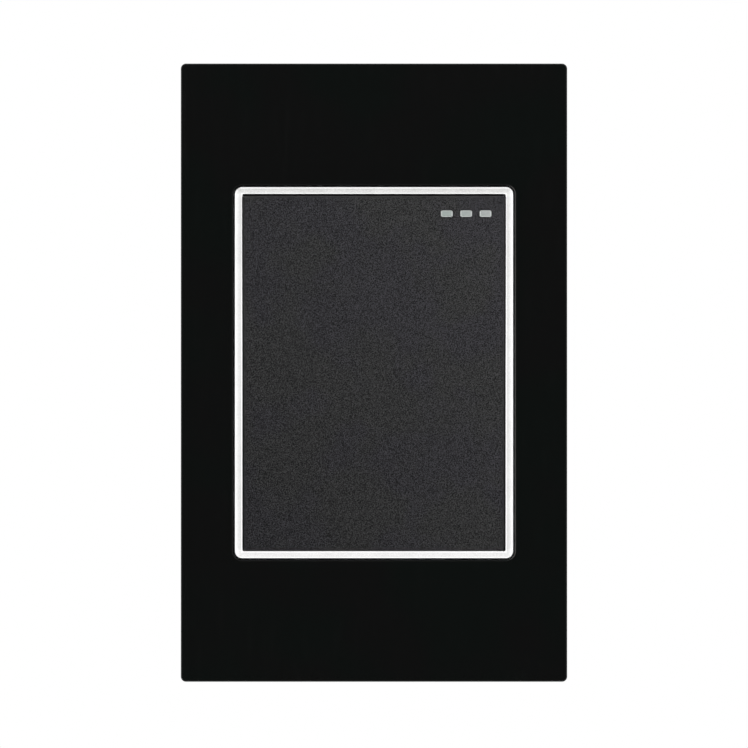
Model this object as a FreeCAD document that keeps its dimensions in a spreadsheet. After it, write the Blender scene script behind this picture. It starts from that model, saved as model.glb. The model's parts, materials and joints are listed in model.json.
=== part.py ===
import FreeCAD, Part
import math
import os
import re

import Sketcher

# Wall switch with one large rocker on a single-gang plate, in millimetres.
# X runs to the right as seen from the room, Y into the wall and Z up. The origin is the centre
# of the mounting frame's rear face, so the plane y = 0 is the wall. A level is a distance out of
# the wall towards the room, which is -y, so what lies behind the wall has a negative level.
# The rocker's pieces are drawn about the rocker's pivot, and the contact arm's about its own:
# there a level counts from that pivot, and the whole piece is then tilted to its rest pose.

SIZES = {
    # Front panel, as its borders round the cutout
    "side_border": 10.12,
    "end_border": 23.62,
    "panel_thick": 3.0,
    "panel_corner": 1.0,
    "panel_edge": 0.2,
    "panel_off_wall": 6.0,
    "cutout_bevel": 0.18,
    "cutout_gap": 0.38,
    # Tape ring between panel and carrier
    "tape_thick": 0.3,
    "tape_inset": 2.2,
    # Carrier behind the panel
    "carrier_inset": 0.5,
    "carrier_corner": 0.9,
    "carrier_edge": 0.3,
    "skirt_wall": 1.6,
    "web_thick": 1.4,
    "web_gap": 0.8,
    "gusset_thick": 1.0,
    "gusset_reach": 3.0,
    "gusset_gap": 0.3,
    "side_gusset_rise": 15.0,
    "end_gusset_pitch": 22.0,
    # Snap hooks of the carrier and their catches in the frame
    "hook_rise": 18.0,
    "hook_wide": 6.0,
    "hook_thick": 1.2,
    "hook_gap": 0.1,
    "hook_length": 3.3,
    "barb_thick": 1.2,
    "barb_reach": 0.9,
    "catch_land": 1.1,
    "catch_gap": 0.2,
    # Trim frame round the rocker
    "window_wide": 51.0,
    "window_tall": 69.2,
    "window_corner": 0.3,
    "rim_wide": 1.5,
    "rim_tall": 1.4,
    "trim_corner": 1.4,
    "trim_proud": 0.6,
    "trim_edge": 0.12,
    "nub_rise": 15.0,
    "nub_long": 6.0,
    "nub_thick": 0.8,
    "nub_lift": 0.15,
    "nub_bite": 0.45,
    # Pressed steel mounting frame
    "frame_side": 3.0,
    "frame_end": 11.25,
    "frame_thick": 1.2,
    "frame_corner": 3.0,
    "frame_fit": 0.5,
    "box_hole_pitch": 83.5,
    "box_hole": 2.25,
    "lip_end": 3.0,
    "lip_gap": 0.3,
    # Countersunk screws between frame and housing cover
    "frame_screw_across": 14.0,
    "frame_screw_land": 3.1,
    "frame_screw": 1.2,
    "frame_screw_head": 2.2,
    "head_land": 0.1,
    "frame_screw_long": 3.4,
    # Rocker
    "tilt": 2.0,
    "pivot_height": 1.8,
    "side_gap": 0.2,
    "end_gap": 0.08,
    "stop_gap": 0.1,
    "skin_thick": 1.8,
    "rocker_wall": 1.6,
    "rocker_corner": 0.3,
    "rocker_edge": 0.2,
    "rib_thick": 1.0,
    "rib_deep": 0.9,
    "rib_across": 19.0,
    "rib_rise": 20.0,
    # Three small windows in the rocker and the insert that fills them
    "slot_wide": 2.42,
    "slot_tall": 1.38,
    "slot_corner": 0.4,
    "slot_pitch": 3.75,
    "slot_side_inset": 7.45,
    "slot_top_inset": 3.44,
    "slot_gap": 0.08,
    "insert_thick": 1.0,
    "insert_side": 0.55,
    "insert_end": 0.8,
    "peg": 0.45,
    "peg_long": 1.3,
    # Lever behind the rocker cover
    "lever_half_wide": 11.5,
    "lever_half_tall": 14.0,
    "lever_thick": 2.0,
    "hub_half_tall": 5.5,
    "hub_rear": 1.2,
    "clip_across": 8.0,
    "clip_rise": 10.6,
    "clip_wide": 4.0,
    "clip_thick": 1.2,
    "clip_barb": 0.6,
    "clip_barb_thick": 0.7,
    "clip_gap": 0.15,
    "trunnion": 1.25,
    "running_gap": 0.05,
    "stem_bore": 3.08,
    "stem_wall": 1.42,
    "stem_stand": 4.6,
    "chamber_end": 0.4,
    # Plunger and its spring
    "plunger_gap": 0.08,
    "plunger_shoulder": 1.0,
    "plunger_grip": 5.0,
    "nose": 1.5,
    "nose_gap": 0.05,
    "pip_gap": 0.45,
    "pip_long": 1.0,
    "spring_wire": 0.25,
    "spring_side_gap": 0.43,
    "spring_turns": 5,
    "spring_seat": 0.02,
    # Housing cover
    "flange_gap": 0.3,
    "flange_thick": 2.4,
    "flange_corner": 0.5,
    "recess_gap": 0.15,
    "stem_way": 0.7,
    "cheek_inner": 13.0,
    "cheek_thick": 3.2,
    "cheek_gap": 0.2,
    "cheek_side_gap": 0.2,
    "key_deep": 3.0,
    "key_thick": 1.2,
    "key_gap": 0.1,
    "key_end": 1.9,
    "boss": 2.2,
    "boss_tall": 1.4,
    # Housing base
    "base_side_inset": 4.2,
    "base_end_inset": 6.3,
    "base_corner": 1.5,
    "base_wall": 1.7,
    "floor_depth": 15.2,
    "screw_sink": 0.8,
    "post": 4.4,
    "screw_inset": 3.4,
    "well": 10.0,
    "well_side": 9.0,
    "well_end": 11.4,
    "notch": 9.0,
    "core_deep": 4.0,
    "core_wall": 1.2,
    # Screws that close the housing
    "housing_screw": 1.2,
    "housing_screw_gap": 0.05,
    "housing_head": 2.0,
    "housing_head_tall": 1.8,
    "housing_head_gap": 0.1,
    "housing_sink": 0.2,
    "housing_screw_bite": 3.0,
    # Contact arm, which tips over its pivot by three times the rocker's tilt
    "arm_ratio": 3,
    "arm_stand": 4.6,
    "arm_thick": 0.8,
    "arm_half_wide": 3.5,
    "arm_end": 0.4,
    "arm_corner": 0.8,
    "lug_half_tall": 0.5,
    "lug_gap": 0.08,
    "lug_spare": 0.4,
    "contact_rise": 10.0,
    "contact": 1.6,
    "contact_tall": 0.9,
    "rivet": 0.8,
    "rivet_head": 1.2,
    "rivet_head_tall": 0.3,
    "rivet_gap": 0.05,
    "touch_gap": 0.05,
    # Terminal strips, which lie on the base's inner floor
    "strip_thick": 1.0,
    "strip_lap": 1.0,
    "strip_end_lap": 0.25,
    "leg_half_tall": 2.5,
    "common_half_tall": 3.2,
    "ear_gap": 0.3,
    "ear_thick": 0.8,
    "ear_half_tall": 2.2,
    "ear_tall": 1.5,
    "fixed_contact": 1.8,
    "collar_wall": 0.9,
    "collar_tall": 1.2,
    # Clamps and screws that hold the wires
    "terminal_screw": 1.7,
    "terminal_head": 3.0,
    "terminal_head_tall": 2.2,
    "terminal_gap": 0.08,
    "clamp": 8.0,
    "clamp_thick": 1.2,
    "wire_space": 2.6,
    # Cross recess of every screw head
    "recess_wide": 0.7,
    "recess_deep": 0.8,
    # How far a cut runs past the face that it opens
    "overcut": 1.0,
}

FORMULAS = {
    # Levels out of the wall
    "panel_rear": "panel_off_wall",
    "panel_front": "panel_rear + panel_thick",
    "trim_front": "panel_front + trim_proud",
    "carrier_front": "panel_rear - tape_thick",
    "web_rear": "carrier_front - web_thick",
    "lip_front": "web_rear - lip_gap",
    "frame_front": "frame_thick",
    "flange_front": "frame_front + flange_thick",
    "boss_front": "flange_front + boss_tall",
    "pivot_out": "flange_front + pivot_height",
    "floor": "-floor_depth",
    "strip_front": "floor + strip_thick",
    "clamp_front": "floor - wire_space",
    "clamp_rear": "clamp_front - clamp_thick",
    "head_rear": "clamp_rear - terminal_head_tall",
    "base_rear": "head_rear - screw_sink",
    "head_seat": "base_rear + housing_sink + housing_head_tall",
    # Outlines in the panel's plane
    "trim_wide": "window_wide + 2 * rim_wide",
    "trim_tall": "window_tall + 2 * rim_tall",
    "cutout_wide": "trim_wide + 2 * cutout_gap",
    "cutout_tall": "trim_tall + 2 * cutout_gap",
    "cutout_corner": "trim_corner + cutout_gap",
    "panel_wide": "cutout_wide + 2 * side_border",
    "panel_tall": "cutout_tall + 2 * end_border",
    "carrier_wide": "panel_wide - 2 * carrier_inset",
    "carrier_tall": "panel_tall - 2 * carrier_inset",
    "skirt_in_wide": "carrier_wide - 2 * skirt_wall",
    "skirt_in_tall": "carrier_tall - 2 * skirt_wall",
    "web_hole_wide": "cutout_wide + 2 * web_gap",
    "web_hole_tall": "cutout_tall + 2 * web_gap",
    "flange_wide": "window_wide - 2 * flange_gap",
    "flange_tall": "window_tall - 2 * flange_gap",
    "base_wide": "flange_wide - 2 * base_side_inset",
    "base_tall": "flange_tall - 2 * base_end_inset",
    "frame_wide": "trim_wide + 2 * frame_side",
    "frame_tall": "box_hole_pitch + 2 * frame_end",
    "frame_hole_wide": "base_wide + 2 * frame_fit",
    "frame_hole_tall": "base_tall + 2 * frame_fit",
    "frame_screw_rise": "frame_hole_tall / 2 + frame_screw_land",
    "lip_long": "2 * hook_rise + hook_wide + 2 * lip_end",
    "barb_front": "lip_front - catch_land",
    "barb_rear": "barb_front - barb_thick",
    "hook_inner": "frame_wide / 2 + hook_gap",
    "hook_outer": "hook_inner + hook_thick",
    # Rocker, with levels from its pivot
    "face_reach": "trim_front - pivot_out",
    "skin_reach": "face_reach - skin_thick",
    "rocker_wide": "window_wide - 2 * side_gap",
    "rocker_tall": "(window_tall - 2 * (end_gap + face_reach * sin(tilt))) / cos(tilt)",
    "skirt_reach": "(stop_gap - pivot_height + rocker_tall / 2 * sin(tilt)) / cos(tilt)",
    "slot_across": "rocker_wide / 2 - slot_side_inset",
    "slot_rise": "rocker_tall / 2 - slot_top_inset",
    "lever_rear": "skin_reach - lever_thick",
    "cheek": "skin_reach - cheek_gap",
    "cheek_outer": "cheek_inner + cheek_thick",
    "hub_half_wide": "cheek_inner - cheek_side_gap",
    "stem": "stem_bore + stem_wall",
    "arm_depth": "floor_depth - arm_stand",
    "stem_tip": "-(pivot_out + arm_depth - stem_stand)",
    "shoulder": "stem_tip - plunger_shoulder",
    "plunger_top": "stem_tip + plunger_grip",
    "nose_tip": "-(pivot_out + arm_depth - arm_thick / 2 - nose_gap)",
    "spring_mean": "stem_bore - spring_side_gap - spring_wire",
    "pip": "spring_mean - spring_wire - pip_gap",
    "spring_long": "-chamber_end - plunger_top - 2 * (spring_wire + spring_seat)",
    # Housing and contacts
    "base_in_wide": "base_wide - 2 * base_wall",
    "base_in_tall": "base_tall - 2 * base_wall",
    "well_across": "base_wide / 2 - well_side",
    "way_rise": "base_tall / 2 - well_end",
    "key_half_wide": "base_in_wide / 2 - post - key_end",
    "key_half_tall": "base_in_tall / 2 - post - key_end",
    "screw_across": "base_wide / 2 - screw_inset",
    "screw_rise": "base_tall / 2 - screw_inset",
    "arm_tilt": "arm_ratio * tilt",
    "arm_half_tall": "contact_rise + contact + arm_end",
    "lug_hole": "sqrt(pow(arm_thick / 2; 2) + pow(lug_half_tall; 2)) + lug_gap",
    "ear_inner": "arm_half_wide + ear_gap",
    "ear_outer": "ear_inner + ear_thick",
    "ear_top": "-arm_depth + ear_tall",
    "touch_depth": "arm_depth + (arm_thick / 2 + contact_tall) * cos(arm_tilt)"
                   " + (contact_rise + contact) * sin(arm_tilt) + touch_gap",
    "touch_rise": "contact_rise * cos(arm_tilt) - (arm_thick / 2 + contact_tall) * sin(arm_tilt)",
}

# Shares of a screw head: its cross recess of its radius, its dome of its height
RECESS_SHARE = 0.6
DOME_SHARE = 0.25

WORD = re.compile(r"[A-Za-z_]\w*")
FRONT = "XZ_Plane"
SIDE = "YZ_Plane"
NEAR = 0.01
CORNERS = [(across, up) for across in (-1, 1) for up in (-1, 1)]

doc = FreeCAD.newDocument("wall_switch")
sheet = doc.addObject("Spreadsheet::Sheet", "Sizes")
for row, (name, number) in enumerate(SIZES.items(), 1):
    sheet.set(f"A{row}", name)
    sheet.set(f"B{row}", str(number))
    sheet.setAlias(f"B{row}", name)
doc.recompute()


def full(text):
    """Write the formulas out, and point each size at its cell."""
    def written_out(match):
        word = match.group(0)
        if word in FORMULAS:
            return "(" + full(FORMULAS[word]) + ")"
        return "Sizes." + word if word in SIZES else word
    return WORD.sub(written_out, str(text))


def value(text):
    return float(sheet.evalExpression(full(text)))


def bind(item, prop, text):
    item.setExpression(prop, full(text))


def times(sign, text):
    """The expression on one side of the middle."""
    return f"{sign} * ({text})"


def new_body(label, level="0"):
    """A body whose own origin is the wall plane's centre or a pivot at that level."""
    body = doc.addObject("PartDesign::Body", label)
    body.Label = label
    body.AllowCompound = True
    bind(body, "Placement.Base.y", f"-({level})")
    return body


def tilted(body, across, angle):
    """Turn the body about the X axis through its origin, towards +X or -X."""
    body.Placement = FreeCAD.Placement(
        body.Placement.Base, FreeCAD.Rotation(FreeCAD.Vector(across, 0, 0), value(angle)))
    bind(body, "Placement.Rotation.Angle", f"({angle}) * 1 deg")


def sketch_on(body, name, plane, offset):
    support = next(item for item in body.Origin.OriginFeatures if item.Role == plane)
    sketch = body.newObject("Sketcher::SketchObject", f"{body.Label}_{name}_outline")
    sketch.AttachmentSupport = (support, [""])
    sketch.MapMode = "FlatFace"
    bind(sketch, "AttachmentOffset.Base.z", offset)
    return sketch


def hold(sketch, kind, *where, text):
    """Add one dimension and bind it."""
    number = sketch.addConstraint(Sketcher.Constraint(kind, *where, value(text)))
    bind(sketch, f"Constraints[{number}]", text)


def disc(across, up, radius):
    def draw(sketch):
        centre = FreeCAD.Vector(value(across), value(up), 0)
        circle = Part.Circle(centre, FreeCAD.Vector(0, 0, 1), value(radius))
        index = sketch.addGeometry(circle)
        hold(sketch, "Radius", index, text=radius)
        hold(sketch, "DistanceX", -1, 1, index, 3, text=across)
        hold(sketch, "DistanceY", -1, 1, index, 3, text=up)
    return draw


def rect(left, right, bottom, top):
    def draw(sketch):
        x0, x1, y0, y1 = value(left), value(right), value(bottom), value(top)
        corners = [FreeCAD.Vector(x, y, 0) for x, y in ((x0, y0), (x1, y0), (x1, y1), (x0, y1))]
        first = sketch.GeometryCount
        for index in range(4):
            sketch.addGeometry(Part.LineSegment(corners[index], corners[(index + 1) % 4]))
        for index in range(4):
            after = first + (index + 1) % 4
            sketch.addConstraint(Sketcher.Constraint("Coincident", first + index, 2, after, 1))
            kind = "Vertical" if index % 2 else "Horizontal"
            sketch.addConstraint(Sketcher.Constraint(kind, first + index))
        hold(sketch, "DistanceX", -1, 1, first, 1, text=left)
        hold(sketch, "DistanceY", -1, 1, first, 1, text=bottom)
        hold(sketch, "DistanceX", -1, 1, first + 2, 1, text=right)
        hold(sketch, "DistanceY", -1, 1, first + 2, 1, text=top)
    return draw


def box_at(across, up, half_wide, half_tall):
    """A rectangle given by its middle."""
    return rect(f"({across}) - ({half_wide})", f"({across}) + ({half_wide})",
                f"({up}) - ({half_tall})", f"({up}) + ({half_tall})")


def rounded(wide, tall, corner, across="0", up="0"):
    """A rectangle with rounded corners, given by its size and its middle."""
    def draw(sketch):
        x, y = value(across), value(up)
        half_x, half_y, r = value(wide) / 2, value(tall) / 2, value(corner)
        quarter = math.pi / 2
        first = sketch.GeometryCount
        turn = [(1, 0), (0, 1), (-1, 0), (0, -1)]
        arc_at = [(1, -1), (1, 1), (-1, 1), (-1, -1)]
        for index, (along_x, along_y) in enumerate(turn):
            side = FreeCAD.Vector(x + along_y * half_x, y - along_x * half_y, 0)
            run = FreeCAD.Vector(along_x * (half_x - r), along_y * (half_y - r), 0)
            sketch.addGeometry(Part.LineSegment(side - run, side + run))
            sign_x, sign_y = arc_at[index]
            centre = FreeCAD.Vector(x + sign_x * (half_x - r), y + sign_y * (half_y - r), 0)
            circle = Part.Circle(centre, FreeCAD.Vector(0, 0, 1), r)
            start = (index - 1) * quarter
            sketch.addGeometry(Part.ArcOfCircle(circle, start, start + quarter))
        for index in range(8):
            after = first + (index + 1) % 8
            sketch.addConstraint(Sketcher.Constraint("Tangent", first + index, 2, after, 1))
        for index in (0, 4):
            sketch.addConstraint(Sketcher.Constraint("Horizontal", first + index))
            sketch.addConstraint(Sketcher.Constraint("Vertical", first + index + 2))
        for index in (3, 5, 7):
            sketch.addConstraint(Sketcher.Constraint("Equal", first + 1, first + index))
        hold(sketch, "Radius", first + 1, text=corner)
        hold(sketch, "DistanceX", -1, 1, first + 2, 1, text=f"({across}) + ({wide}) / 2")
        hold(sketch, "DistanceX", -1, 1, first + 6, 1, text=f"({across}) - ({wide}) / 2")
        hold(sketch, "DistanceY", -1, 1, first + 4, 1, text=f"({up}) + ({tall}) / 2")
        hold(sketch, "DistanceY", -1, 1, first, 1, text=f"({up}) - ({tall}) / 2")
    return draw


def pad(body, name, low, high, *outlines, plane=FRONT):
    """Raise the outlines from one level to a higher one; an outline inside another is a hole."""
    sketch = sketch_on(body, name, plane, low)
    for outline in outlines:
        outline(sketch)
    feature = body.newObject("PartDesign::Pad", f"{body.Label}_{name}")
    feature.Profile = sketch
    bind(feature, "Length", f"({high}) - ({low})")
    return feature


def cut(body, name, low, high, *outlines, plane=FRONT):
    """Take the outlines away between two levels."""
    sketch = sketch_on(body, name, plane, high)
    for outline in outlines:
        outline(sketch)
    feature = body.newObject("PartDesign::Pocket", f"{body.Label}_{name}")
    feature.Profile = sketch
    bind(feature, "Length", f"({high}) - ({low})")
    return feature


def edges_at(feature, level, wide="panel_wide", tall="panel_tall"):
    """The edges that lie at one level, within a rectangle about the middle."""
    doc.recompute()
    y, half_x, half_z = -value(level), value(wide) / 2 + NEAR, value(tall) / 2 + NEAR
    names = []
    for number, edge in enumerate(feature.Shape.Edges, 1):
        box = edge.BoundBox
        at_level = abs(box.YMin - y) < NEAR and abs(box.YMax - y) < NEAR
        within = max(-box.XMin, box.XMax) < half_x and max(-box.ZMin, box.ZMax) < half_z
        if at_level and within:
            names.append(f"Edge{number}")
    return names


def rounding(body, name, edges, radius):
    feature = body.newObject("PartDesign::Fillet", f"{body.Label}_{name}")
    feature.Base = (feature.BaseFeature, edges)
    bind(feature, "Radius", radius)
    return feature


def bevel(body, name, edges, size):
    feature = body.newObject("PartDesign::Chamfer", f"{body.Label}_{name}")
    feature.Base = (feature.BaseFeature, edges)
    bind(feature, "Size", size)
    return feature


def cross_recess(body, places, face, radius):
    """A cross cut into each screw head from the rear."""
    inner = f"({face}) + recess_deep"
    long, short = times(RECESS_SHARE, radius), "recess_wide / 2"
    for name, half_x, half_z in (("recess_bar", long, short), ("recess_post", short, long)):
        cut(body, name, face, inner, *[box_at(x, z, half_x, half_z) for x, z in places])


def make_face_plate():
    body = new_body("face_plate")
    slab = pad(body, "slab", "panel_rear", "panel_front",
               rounded("panel_wide", "panel_tall", "panel_corner"))
    rounding(body, "edge", edges_at(slab, "panel_front"), "panel_edge")
    opening = cut(body, "opening", "panel_rear", "panel_front",
                  rounded("cutout_wide", "cutout_tall", "cutout_corner"))
    bevel(body, "bevel", edges_at(opening, "panel_front", "cutout_wide", "cutout_tall"),
          "cutout_bevel")
    return body


def make_bonding_tape():
    body = new_body("bonding_tape")
    pad(body, "ring", "carrier_front", "panel_rear",
        rounded("panel_wide - 2 * tape_inset", "panel_tall - 2 * tape_inset", "panel_corner"),
        rounded("cutout_wide + 2 * tape_inset", "cutout_tall + 2 * tape_inset", "cutout_corner"))
    return body


def make_plate_carrier():
    body = new_body("plate_carrier")
    pad(body, "skirt", "0", "carrier_front",
        rounded("carrier_wide", "carrier_tall", "carrier_corner"),
        rounded("skirt_in_wide", "skirt_in_tall", "carrier_corner"))
    web = pad(body, "web", "web_rear", "carrier_front",
              rounded("carrier_wide", "carrier_tall", "carrier_corner"),
              rounded("web_hole_wide", "web_hole_tall", "cutout_corner"))
    outer = set(edges_at(web, "carrier_front"))
    inner = set(edges_at(web, "carrier_front", "web_hole_wide", "web_hole_tall"))
    rounding(body, "edge", sorted(outer - inner), "carrier_edge")
    gussets = []
    half_thick, half_reach = "gusset_thick / 2", "gusset_reach / 2"
    for side in (-1, 1):
        across = times(side, f"skirt_in_wide / 2 - {half_reach}")
        for row in (-3, -1, 1, 3):
            gussets.append(box_at(across, times(row, "side_gusset_rise"), half_reach, half_thick))
        up = times(side, f"skirt_in_tall / 2 - {half_reach}")
        for column in (-1, 0, 1):
            gussets.append(box_at(times(column, "end_gusset_pitch"), up, half_thick, half_reach))
    pad(body, "gussets", "frame_front + gusset_gap", "web_rear", *gussets)
    legs = []
    barbs = []
    for side, row in CORNERS:
        up = times(row, "hook_rise")
        bottom, top = f"{up} - hook_wide / 2", f"{up} + hook_wide / 2"
        left, right = sorted((times(side, "hook_inner"), times(side, "hook_outer")), key=value)
        legs.append(rect(left, right, bottom, top))
        tip = times(side, "hook_inner - hook_gap - barb_reach")
        left, right = sorted((tip, times(side, "hook_outer")), key=value)
        barbs.append(rect(left, right, bottom, top))
    pad(body, "hook_legs", "web_rear - hook_length", "web_rear", *legs)
    pad(body, "hook_barbs", "barb_rear", "barb_front", *barbs)
    return body


def make_trim_frame():
    body = new_body("trim_frame")
    ring = pad(body, "ring", "frame_front", "trim_front",
               rounded("trim_wide", "trim_tall", "trim_corner"),
               rounded("window_wide", "window_tall", "window_corner"))
    rounding(body, "edge", edges_at(ring, "trim_front"), "trim_edge")
    nubs = []
    for side, row in CORNERS:
        near = times(side, "window_wide / 2 - flange_gap - nub_bite")
        far = times(side, "window_wide / 2 + rim_wide / 2")
        left, right = sorted((near, far), key=value)
        up = times(row, "nub_rise")
        nubs.append(rect(left, right, f"{up} - nub_long / 2", f"{up} + nub_long / 2"))
    pad(body, "nubs", "frame_front + nub_lift", "frame_front + nub_lift + nub_thick", *nubs)
    return body


FRAME_SCREWS = [(times(side, "frame_screw_across"), times(row, "frame_screw_rise"))
                for side, row in CORNERS]
HOUSING_SCREWS = [(times(side, "screw_across"), times(row, "screw_rise")) for side, row in CORNERS]
WELLS = {"upper": ("well_across", "way_rise"),
         "lower": ("well_across", "-way_rise"),
         "common": ("-well_across", "0")}


def make_mounting_frame():
    body = new_body("mounting_frame")
    pad(body, "plate", "0", "frame_front",
        rounded("frame_wide", "frame_tall", "frame_corner"),
        rounded("frame_hole_wide", "frame_hole_tall", "base_corner"),
        *[disc("0", f"{row} * box_hole_pitch / 2", "box_hole") for row in (-1, 1)])
    lips = []
    for side in (-1, 1):
        near, far = times(side, "frame_wide / 2 - frame_thick"), times(side, "frame_wide / 2")
        left, right = sorted((near, far), key=value)
        lips.append(rect(left, right, "-lip_long / 2", "lip_long / 2"))
    pad(body, "lips", "0", "lip_front", *lips)
    catch_half = "hook_wide / 2 + catch_gap"
    cut(body, "catches", "-frame_wide / 2 - overcut", "frame_wide / 2 + overcut", *[
        rect("-(barb_front + catch_gap)", "-(barb_rear - catch_gap)",
             f"{row} * hook_rise - ({catch_half})", f"{row} * hook_rise + ({catch_half})")
        for row in (-1, 1)], plane=SIDE)
    bores = cut(body, "screw_holes", "0", "frame_front", *[
        disc(x, z, "frame_screw + rivet_gap") for x, z in FRAME_SCREWS])
    doc.recompute()
    rims = [f"Edge{number}" for number, edge in enumerate(bores.Shape.Edges, 1)
            if isinstance(edge.Curve, Part.Circle) and edge.isClosed()
            and abs(edge.Curve.Center.y) < NEAR
            and abs(edge.Curve.Radius - value("frame_screw + rivet_gap")) < NEAR]
    bevel(body, "countersinks", rims, "frame_screw_head - frame_screw + head_land + running_gap")
    return body


def make_frame_screws():
    body = new_body("frame_screws")
    pad(body, "shanks", "0", "frame_screw_long", *[
        disc(x, z, "frame_screw") for x, z in FRAME_SCREWS])
    cone = "frame_screw_head - frame_screw"
    heads = pad(body, "heads", "0", f"{cone} + head_land", *[
        disc(x, z, "frame_screw_head") for x, z in FRAME_SCREWS])
    doc.recompute()
    rims = [f"Edge{number}" for number, edge in enumerate(heads.Shape.Edges, 1)
            if isinstance(edge.Curve, Part.Circle) and edge.isClosed()
            and edge.Curve.Center.y < -NEAR
            and edge.Curve.Radius > value("frame_screw_head") - NEAR]
    bevel(body, "cones", rims, f"{cone} - running_gap")
    cross_recess(body, FRAME_SCREWS, "0", "frame_screw_head")
    return body


def make_rocker_cover():
    body = new_body("rocker_cover", "pivot_out")
    skin = pad(body, "skin", "skin_reach", "face_reach",
               rounded("rocker_wide", "rocker_tall", "rocker_corner"))
    rounding(body, "edge", edges_at(skin, "face_reach"), "rocker_edge")
    pad(body, "skirt", "skirt_reach", "skin_reach",
        rounded("rocker_wide", "rocker_tall", "rocker_corner"),
        rect("-rocker_wide / 2 + rocker_wall", "rocker_wide / 2 - rocker_wall",
             "-rocker_tall / 2 + rocker_wall", "rocker_tall / 2 - rocker_wall"))
    cut(body, "slots", "skin_reach", "face_reach", *[
        rounded("slot_wide", "slot_tall", "slot_corner", f"slot_across + {column} * slot_pitch",
                "slot_rise") for column in (-1, 0, 1)])
    half = "rib_thick / 2"
    for row in (-1, 1):
        pad(body, f"cross_rib_{'low' if row < 0 else 'high'}", "skin_reach - rib_deep", "skin_reach",
            rect("-rocker_wide / 2 + rocker_wall", "rocker_wide / 2 - rocker_wall",
                 f"{row} * rib_rise - {half}", f"{row} * rib_rise + {half}"))
    pad(body, "long_ribs", "skin_reach - rib_deep", "skin_reach", *[
        box_at(times(side, "rib_across"), "0", half, "rib_rise") for side in (-1, 1)])
    pad(body, "pegs", "skin_reach - peg_long", "skin_reach", *[
        disc(f"slot_across + {side} * slot_pitch / 2", "slot_rise", "peg") for side in (-1, 1)])
    legs = []
    barbs = []
    for side, row in CORNERS:
        across = times(side, "clip_across")
        legs.append(box_at(across, times(row, "clip_rise"), "clip_wide / 2", "clip_thick / 2"))
        barbs.append(box_at(across, times(row, "clip_rise + clip_barb / 2"), "clip_wide / 2",
                            "(clip_thick + clip_barb) / 2"))
    barb_top = "lever_rear - clip_gap"
    pad(body, "clip_legs", f"{barb_top} - clip_barb_thick", "skin_reach", *legs)
    pad(body, "clip_barbs", f"{barb_top} - clip_barb_thick", barb_top, *barbs)
    tilted(body, 1, "tilt")
    return body


def make_window_insert():
    body = new_body("window_insert", "pivot_out")
    half_wide = "slot_pitch + slot_wide / 2 + insert_side"
    half_tall = "slot_tall / 2 + insert_end"
    pad(body, "strip", "skin_reach - insert_thick", "skin_reach",
        box_at("slot_across", "slot_rise", half_wide, half_tall),
        *[disc(f"slot_across + {side} * slot_pitch / 2", "slot_rise", "peg + slot_gap")
          for side in (-1, 1)])
    pad(body, "panes", "skin_reach", "face_reach", *[
        rounded("slot_wide - 2 * slot_gap", "slot_tall - 2 * slot_gap", "slot_corner - slot_gap",
                f"slot_across + {column} * slot_pitch", "slot_rise") for column in (-1, 0, 1)])
    tilted(body, 1, "tilt")
    return body


def make_rocker_lever():
    body = new_body("rocker_lever", "pivot_out")
    pad(body, "plate", "lever_rear", "skin_reach",
        rect("-lever_half_wide", "lever_half_wide", "-lever_half_tall", "lever_half_tall"))
    pad(body, "hub", "-hub_rear", "skin_reach",
        rect("-(hub_half_wide)", "hub_half_wide", "-hub_half_tall", "hub_half_tall"))
    pad(body, "stem", "stem_tip", "0", disc("0", "0", "stem"))
    tip = "cheek_outer - cheek_side_gap"
    pad(body, "trunnions", f"-({tip})", tip, disc("0", "0", "trunnion"), plane=SIDE)
    cut(body, "chamber", "stem_tip", "-chamber_end", disc("0", "0", "stem_bore"))
    cut(body, "clip_windows", "lever_rear", "skin_reach", *[
        box_at(times(side, "clip_across"), times(row, "clip_rise + clip_barb / 2"),
               "clip_wide / 2 + clip_gap", "(clip_thick + clip_barb) / 2 + clip_gap")
        for side, row in CORNERS])
    tilted(body, 1, "tilt")
    return body


def make_plunger():
    body = new_body("plunger", "pivot_out")
    pad(body, "barrel", "shoulder", "plunger_top", disc("0", "0", "stem_bore - plunger_gap"))
    pad(body, "pip", "plunger_top", "plunger_top + pip_long", disc("0", "0", "pip"))
    pad(body, "nose", "nose_tip + nose", "shoulder", disc("0", "0", "nose"))
    ball = body.newObject("PartDesign::AdditiveSphere", "plunger_ball")
    bind(ball, "Radius", "nose")
    bind(ball, "Placement.Base.y", "-(nose_tip + nose)")
    tilted(body, 1, "tilt")
    return body


def biarc(start, start_way, end, end_way):
    """Two arcs that leave and arrive in the given directions and meet in a common tangent."""
    chord = end - start
    along = chord.dot(start_way + end_way)
    bend = 2 * (1 - start_way.dot(end_way))
    reach = (math.sqrt(along ** 2 + bend * chord.dot(chord)) - along) / bend
    first_knee, second_knee = start + start_way * reach, end - end_way * reach
    middle = (first_knee + second_knee) * 0.5
    arcs = []
    for here, knee, there in ((start, first_knee, middle), (middle, second_knee, end)):
        centre = (here + there) * 0.5
        half, rise = (there - here).Length / 2, (knee - centre).Length
        crown = half * math.tan(math.atan2(rise, half) / 2)
        arcs.append(Part.Arc(here, centre + (knee - centre) * (crown / rise), there).toShape())
    return arcs


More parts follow.
